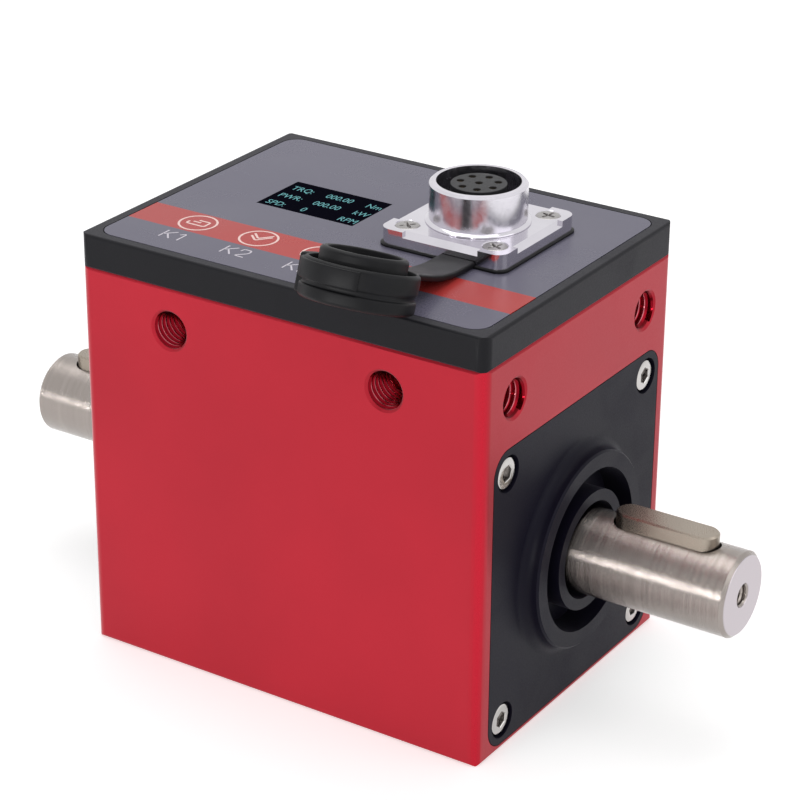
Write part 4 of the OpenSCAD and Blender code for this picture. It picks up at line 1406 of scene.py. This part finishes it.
@dataclass
class DustCap:
    """Rubber cap, strap and gasket in one soft piece."""

    conn_x: float = 19.9
    conn_y: float = 6.1
    lid_z: float = 93.2
    cap_x: float = 24.2
    cap_y: float = -44.5
    lean: float = math.radians(20)
    radius: float = 11.15
    bore: float = 10.15
    height: float = 7.7
    floor: float = 2.0
    plug_r: float = 8.45
    plug_wall: float = 1.4
    plug_rise: float = 2.4
    groove: float = 0.5
    soft: float = 0.35
    rest: float = 0.3
    flange: float = 29.0
    flange_r: float = 2.6
    lip: float = 0.4
    gasket: float = 0.6
    strap_w: float = 8.0
    strap_t: float = 1.3
    strap_sink: float = 0.87
    strap_lift: float = 0.15
    strap_edge: float = 0.45
    strap_steps: int = 28
    tab_w: float = 6.0
    tab_out: float = 1.2
    tab_root: float = 1.0
    tab_edge: float = 0.8
    tail_r: float = 9.1
    band_low: float = 3.6
    band_out: float = 0.45
    band_root: float = 0.4
    band_edge: float = 0.3
    band_steps: int = 40
    ease: float = 0.15
    band_from: float = math.radians(180)
    band_to: float = math.radians(300)

    @property
    def cap_z(self) -> float:
        """Height of the cap's floor centre."""
        return self.lid_z + self.rest + (self.radius - self.groove) * math.sin(self.lean)

    def build(self) -> None:
        """Joins the cap, its tab, its strap and its gasket."""
        place = Matrix.Translation((self.cap_x, self.cap_y, self.cap_z))
        place = place @ Matrix.Rotation(-self.lean, 4, "X")
        shape = self.cup().moved(place)
        shape.add(self.tab().moved(place))
        shape.add(self.band().moved(place))
        shape.add(self.strap())
        shape.add(self.seal())
        settle(shape.build("dust_cap_rubber", 50.0), Body.FIXED, RUBBER, "cap_rubber", "dust_cap")

    def cup(self) -> Shape:
        """Cap with its finger groove and inner plug ring, about its own axis.

        Returns:
            The cup with its floor at Z = 0.
        """
        r, g, h, top = self.radius, self.groove, self.height, self.height + self.plug_rise
        inner = self.plug_r - self.plug_wall
        step = self.floor + g
        line = [
            (0, 0), (r - g, 0), (r, g), (r, step), (r - g, step + g * 0.5), (r - g, step + g * 2),
            (r, step + g * 3), (r, h - g), (r - g, h), (self.bore, h), (self.bore, self.floor),
            (self.plug_r, self.floor), (self.plug_r, top - g), (self.plug_r - g, top), (inner, top),
            (inner, self.floor), (0, self.floor)]
        return turned(arc_corner(line, self.soft))

    def tab(self) -> Shape:
        """Pull tab at the cap's left, with eased edges.

        Returns:
            The tab on the cap's axes.
        """
        rings = []
        top = self.height
        root = -self.radius + self.tab_root
        steps = ((0.0, 0.5), (0.15, 0.15), (0.5, 0.0), (top - 0.5, 0.0), (top - 0.15, 0.15), (top, 0.5))
        for z, ease in steps:
            half = self.tab_w / 2 - ease
            out = -self.radius - self.tab_out + ease
            corner = [(root, -half), (out, -half), (out, half), (root, half)]
            rings.append([Vector((x, y, z)) for x, y in arc_corner(corner, self.tab_edge)])
        return lofted(rings)

    def band(self) -> Shape:
        """Grip band that runs round the skirt from the tab to the front.

        Returns:
            The band on the cap's axes.
        """
        low, high = self.band_low, self.height - self.groove
        root = self.radius - self.band_root
        rings = []
        steps = self.band_steps
        for i in range(steps + 1):
            a = self.band_from + (self.band_to - self.band_from) * i / steps
            ease = self.ease if i in (0, steps) else 0.0
            out = self.radius + self.band_out - ease
            line = arc_corner([(root, low), (out, low), (out, high), (root, high)], self.band_edge, 3)
            rings.append([Vector((r * math.cos(a), r * math.sin(a), z)) for r, z in line])
        return lofted(rings)

    def strap(self) -> Shape:
        """Flat strap that bends from the gasket to the cap's skirt.

        Returns:
            The strap in its place.
        """
        half = self.strap_t / 2
        root = Vector((self.conn_y - self.flange / 2 - self.lip / 2, self.lid_z + self.strap_lift + half))
        rim = Vector((self.radius - self.strap_sink, self.height - self.strap_t))
        c, s = math.cos(self.lean), math.sin(self.lean)
        tip = Vector((self.cap_y + rim.x * c + rim.y * s, self.cap_z - rim.x * s + rim.y * c))
        reach = (root.x - tip.x) / 2
        bends = (root, root - Vector((reach, 0)), tip + reach * Vector((c, -s)), tip)
        wide = self.strap_w / 2
        corners = [(0, -half), (wide, -half), (wide, half), (-wide, half), (-wide, -half), (0, -half)]
        section = arc_corner(corners, self.strap_edge)[1:]
        rings = []
        steps = self.strap_steps
        for i in range(steps + 1):
            t = i / steps
            u = 1 - t
            at = u ** 3 * bends[0] + 3 * u * u * t * bends[1] + 3 * u * t * t * bends[2] + t ** 3 * bends[3]
            way = (u * u * (bends[1] - bends[0]) + 2 * u * t * (bends[2] - bends[1])
                   + t * t * (bends[3] - bends[2])).normalized()
            normal = Vector((-way.y, way.x))
            rings.append([Vector((self.cap_x + x, *(at + normal * z))) for x, z in section])
        return lofted(rings)

    def seal(self) -> Shape:
        """Gasket plate round the connector's tail, open in the middle.

        Returns:
            The gasket in its place.
        """
        half = self.flange / 2 + self.lip
        outer = round_square(half, self.flange_r)
        inner = [p.normalized() * self.tail_r for p in outer]
        rings = []
        ease, top = self.ease, self.gasket
        steps = ((inner, 0.0, 0.0), (outer, ease, 0.0), (outer, 0.0, ease), (outer, 0.0, top - ease),
                 (outer, ease, top), (inner, 0.0, top), (inner, 0.0, 0.0))
        for ring, shrink, z in steps:
            rings.append([p * (1 - shrink / half) + Vector((0, 0, z)) for p in ring])
        place = Matrix.Translation((self.conn_x, self.conn_y, self.lid_z))
        return lofted(rings, caps=False).moved(place)


@dataclass
class EndCover:
    """Black cover with its collar and four hexagon socket screws."""

    nodes: dict[str, bpy.types.Object]
    side: Side
    face: float = 48.25
    axis_z: float = 34.2
    spacing: float = 55.0
    sunk: float = 0.25

    def build(self) -> None:
        """Makes the cover and seats its screws."""
        word = self.side.word
        plate = crisp_copy(self.nodes[f"end_cover_{word}"], f"cover_plate_{word}")
        settle(plate, Body.FIXED, COVER_BLACK, "cover_black", f"end_cover_{word}")
        sign = self.side.value
        seats = Seats()
        for s in (-1, 1):
            for t in (-1, 1):
                out = sign * (self.face - self.sunk)
                point = (out, s * self.spacing / 2, self.axis_z + t * self.spacing / 2)
                seats.put(point, (sign, 0, 0))
        head = ScrewHead(Drive.HEXAGON, radius=3.4, height=4.0, edge=0.7, recess=3.0, depth=2.2)
        ScrewRow(f"cover_bolts_{word}", head, seats, (f"cover_screws_{word}",), seed=5 + sign).build()


@dataclass
class ShaftLine:
    """Turning shaft with its keys and tapped ends."""

    nodes: dict[str, bpy.types.Object]
    end_x: float = 86.25
    axis_z: float = 34.2
    key_x: float = 69.0
    key_l: float = 22.5
    key_w: float = 6.0
    key_foot: float = 5.6
    key_top: float = 11.6
    key_edge: float = 0.35
    key_steps: int = 48
    thread_in: float = 0.6

    def key(self, side: Side) -> Shape:
        """Parallel key with round ends and broken edges.

        Args:
            side: end of the shaft that it sits on.

        Returns:
            The key in its place.
        """
        edge = self.key_edge
        rings = []
        for z, inset in ((self.key_foot, edge), (self.key_foot + edge, 0.0), (self.key_top - edge, 0.0),
                         (self.key_top, edge)):
            half = self.key_w / 2
            straight = self.key_l / 2 - half
            ring = []
            for i in range(self.key_steps):
                a = 2 * math.pi * (i + 0.5) / self.key_steps
                end = math.copysign(straight, math.cos(a))
                out = Vector((math.cos(a), math.sin(a), 0)) * (half - inset)
                ring.append(out + Vector((side.value * self.key_x + end, 0, self.axis_z + z)))
            rings.append(ring)
        return lofted(rings)

    def build(self) -> None:
        """Makes the shaft, its two keys and the threads in its ends."""
        bar = crisp_copy(self.nodes["shaft"], "shaft_bar", sharp=28.0)
        settle(bar, Body.ROTOR, SHAFT, "shaft_steel", "shaft")
        seats = Seats()
        for side in Side:
            key = self.key(side).build(f"feather_key_{side.word}", 30.0)
            settle(key, Body.ROTOR, KEY, "key_steel", f"shaft_key_{side.word}")
            seats.put((side.value * (self.end_x - self.thread_in), 0, self.axis_z), (side.value, 0, 0))
        ThreadRow("shaft_threads", seats, radius=2.1, ridge=0.35, pitch=0.8, length=9.6,
                  body=Body.ROTOR, finish=SHAFT, slot="shaft_steel").build()


@dataclass
class InnerWorks:
    """Pieces inside the housing, which keep their solids and get their finishes."""

    nodes: dict[str, bpy.types.Object]

    def build(self) -> None:
        """Paints every inner solid."""
        finishes: dict[Finish, tuple[str, ...]] = {
            LID_SCREW: ("lid_screws",),
            SCREW: ("board_screws",),
            BOARD: ("main_board", "key_board"),
            CHIP: ("board_chips", "key_switches", "speed_pickup"),
            PLUNGER: ("key_plunger_1", "key_plunger_2", "key_plunger_3"),
            BEARING: ("bearing_outer_right", "bearing_outer_left", "bearing_inner_right",
                      "bearing_inner_left", "bearing_balls_right", "bearing_balls_left"),
            BRASS: ("bearing_cage_right", "bearing_cage_left"),
            FORMER: ("rotor_former", "stator_former"),
            COPPER: ("rotor_coil", "stator_coil"),
            DISC: ("speed_disc",),
            GAUGE: ("strain_gauges",)}
        for finish, names in finishes.items():
            for name in names:
                mesh = self.nodes[name].data
                mesh.materials.clear()
                mesh.materials.append(finish.material())
                LOG.info("inner piece %s in %s", name, finish.name)


@dataclass
class Studio:
    """Camera, lamps, floor and surroundings."""

    azimuth: float = math.radians(32.967)
    elevation: float = math.radians(24.929)
    roll: float = math.radians(0.44)
    camera_at: tuple[float, float, float] = (286.879, -433.884, 296.019)
    lens: float = 123.32
    fill: float = 0.45
    floor_half: float = 4.0
    floor_colour: Colour = (0.82, 0.82, 0.82)
    floor_lift: float = 0.5
    sensor: float = 36.0
    nearest: float = 0.01
    farthest: float = 50.0

    def build(self) -> None:
        """Sets up everything that isn't part of the object."""
        bpy.context.scene.view_settings.view_transform = "Standard"
        self.camera()
        self.surroundings()
        self.floor()
        self.lamp("lamp_top", at=(-0.12, 0.12, 0.82), to=(0, 0, 0.06), size=(0.6, 0.6), power=2.3)
        self.lamp("lamp_right", at=(0.75, 0.05, 0.45), to=(0, 0, 0.05), size=(0.6, 0.6), power=1.1)
        self.lamp("lamp_front", at=(0.0, -0.9, 0.2), to=(0, 0, 0.05), size=(0.9, 0.05), power=3.4)

    def camera(self) -> None:
        """Places the camera at the photograph's angle."""
        az, el = self.azimuth, self.elevation
        back = Vector((math.sin(az) * math.cos(el), -math.cos(az) * math.cos(el), math.sin(el)))
        right = Vector((math.cos(az), math.sin(az), 0))
        up = back.cross(right)
        c, s = math.cos(self.roll), math.sin(self.roll)
        axes = Matrix((right * c + up * s, up * c - right * s, back)).transposed()
        data = bpy.data.cameras.new("camera")
        data.lens = self.lens
        data.sensor_width = self.sensor
        data.clip_start = self.nearest
        data.clip_end = self.farthest
        camera = bpy.data.objects.new("camera", data)
        camera.matrix_world = Matrix.Translation(Vector(self.camera_at) * MM) @ axes.to_4x4()
        bpy.context.scene.collection.objects.link(camera)
        bpy.context.scene.camera = camera

    @staticmethod
    def seen_directly(flow: Flow) -> Socket:
        """Returns 1 for rays that show the background: seen, mirrored or through glass."""
        path = flow.add("ShaderNodeLightPath").outputs
        first = flow.math("MAXIMUM", path["Is Camera Ray"], path["Is Glossy Ray"])
        return flow.math("MAXIMUM", first, path["Is Transmission Ray"])

    def surroundings(self) -> None:
        """White surroundings, with softer light for the surfaces."""
        world = bpy.data.worlds.new("surroundings")
        bpy.context.scene.world = world
        world.use_nodes = True
        world.node_tree.nodes.clear()
        flow = Flow(world.node_tree)
        soft = flow.add("ShaderNodeBackground", {"Color": (1, 1, 1, 1), "Strength": self.fill})
        white = flow.add("ShaderNodeBackground", {"Color": (1, 1, 1, 1), "Strength": 1.0})
        mixed = flow.add("ShaderNodeMixShader", {
            0: self.seen_directly(flow), 1: soft.outputs[0], 2: white.outputs[0]})
        flow.add("ShaderNodeOutputWorld", {0: mixed.outputs[0]})

    def floor(self) -> None:
        """Pale floor that keeps the object's shadow."""
        half = self.floor_half
        mesh = bpy.data.meshes.new("floor")
        corners = [(-half, -half, 0), (half, -half, 0), (half, half, 0), (-half, half, 0)]
        mesh.from_pydata(corners, [], [(0, 1, 2, 3)])
        obj = bpy.data.objects.new("floor", mesh)
        bpy.context.scene.collection.objects.link(obj)
        made = bpy.data.materials.new("floor_pale")
        made.use_nodes = True
        made.node_tree.nodes.clear()
        flow = Flow(made.node_tree)
        matt = flow.add("ShaderNodeBsdfDiffuse", {"Color": rgba(self.floor_colour)})
        lift = flow.add("ShaderNodeEmission", {
            "Color": (1, 1, 1, 1),
            "Strength": flow.math("MULTIPLY", self.seen_directly(flow), self.floor_lift)})
        both = flow.add("ShaderNodeAddShader", {0: matt.outputs[0], 1: lift.outputs[0]})
        flow.add("ShaderNodeOutputMaterial", {0: both.outputs[0]})
        mesh.materials.append(made)

    @staticmethod
    def lamp(name: str, at: Sequence[float], to: Sequence[float], size: Point2, power: float) -> None:
        """Adds a soft lamp.

        Args:
            name: name of the lamp.
            at: its place in metres.
            to: the point that it faces.
            size: its width and height in metres.
            power: its power in watts.
        """
        data = bpy.data.lights.new(name, "AREA")
        data.shape = "RECTANGLE"
        data.size, data.size_y = size
        data.energy = power
        obj = bpy.data.objects.new(name, data)
        obj.location = at
        obj.rotation_euler = (Vector(at) - Vector(to)).to_track_quat("Z", "Y").to_euler()
        bpy.context.scene.collection.objects.link(obj)


def main() -> None:
    """Builds every sub-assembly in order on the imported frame."""
    logging.basicConfig(level=logging.INFO, format="%(name)s: %(message)s")
    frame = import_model()
    nodes = frame["nodes"]
    Studio().build()
    Housing(nodes).build()
    LidPanel(nodes).build()
    Connector(nodes).build()
    DustCap().build()
    for side in Side:
        EndCover(nodes, side).build()
    ShaftLine(nodes).build()
    InnerWorks(nodes).build()
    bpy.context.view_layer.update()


if __name__ == "__main__":
    main()
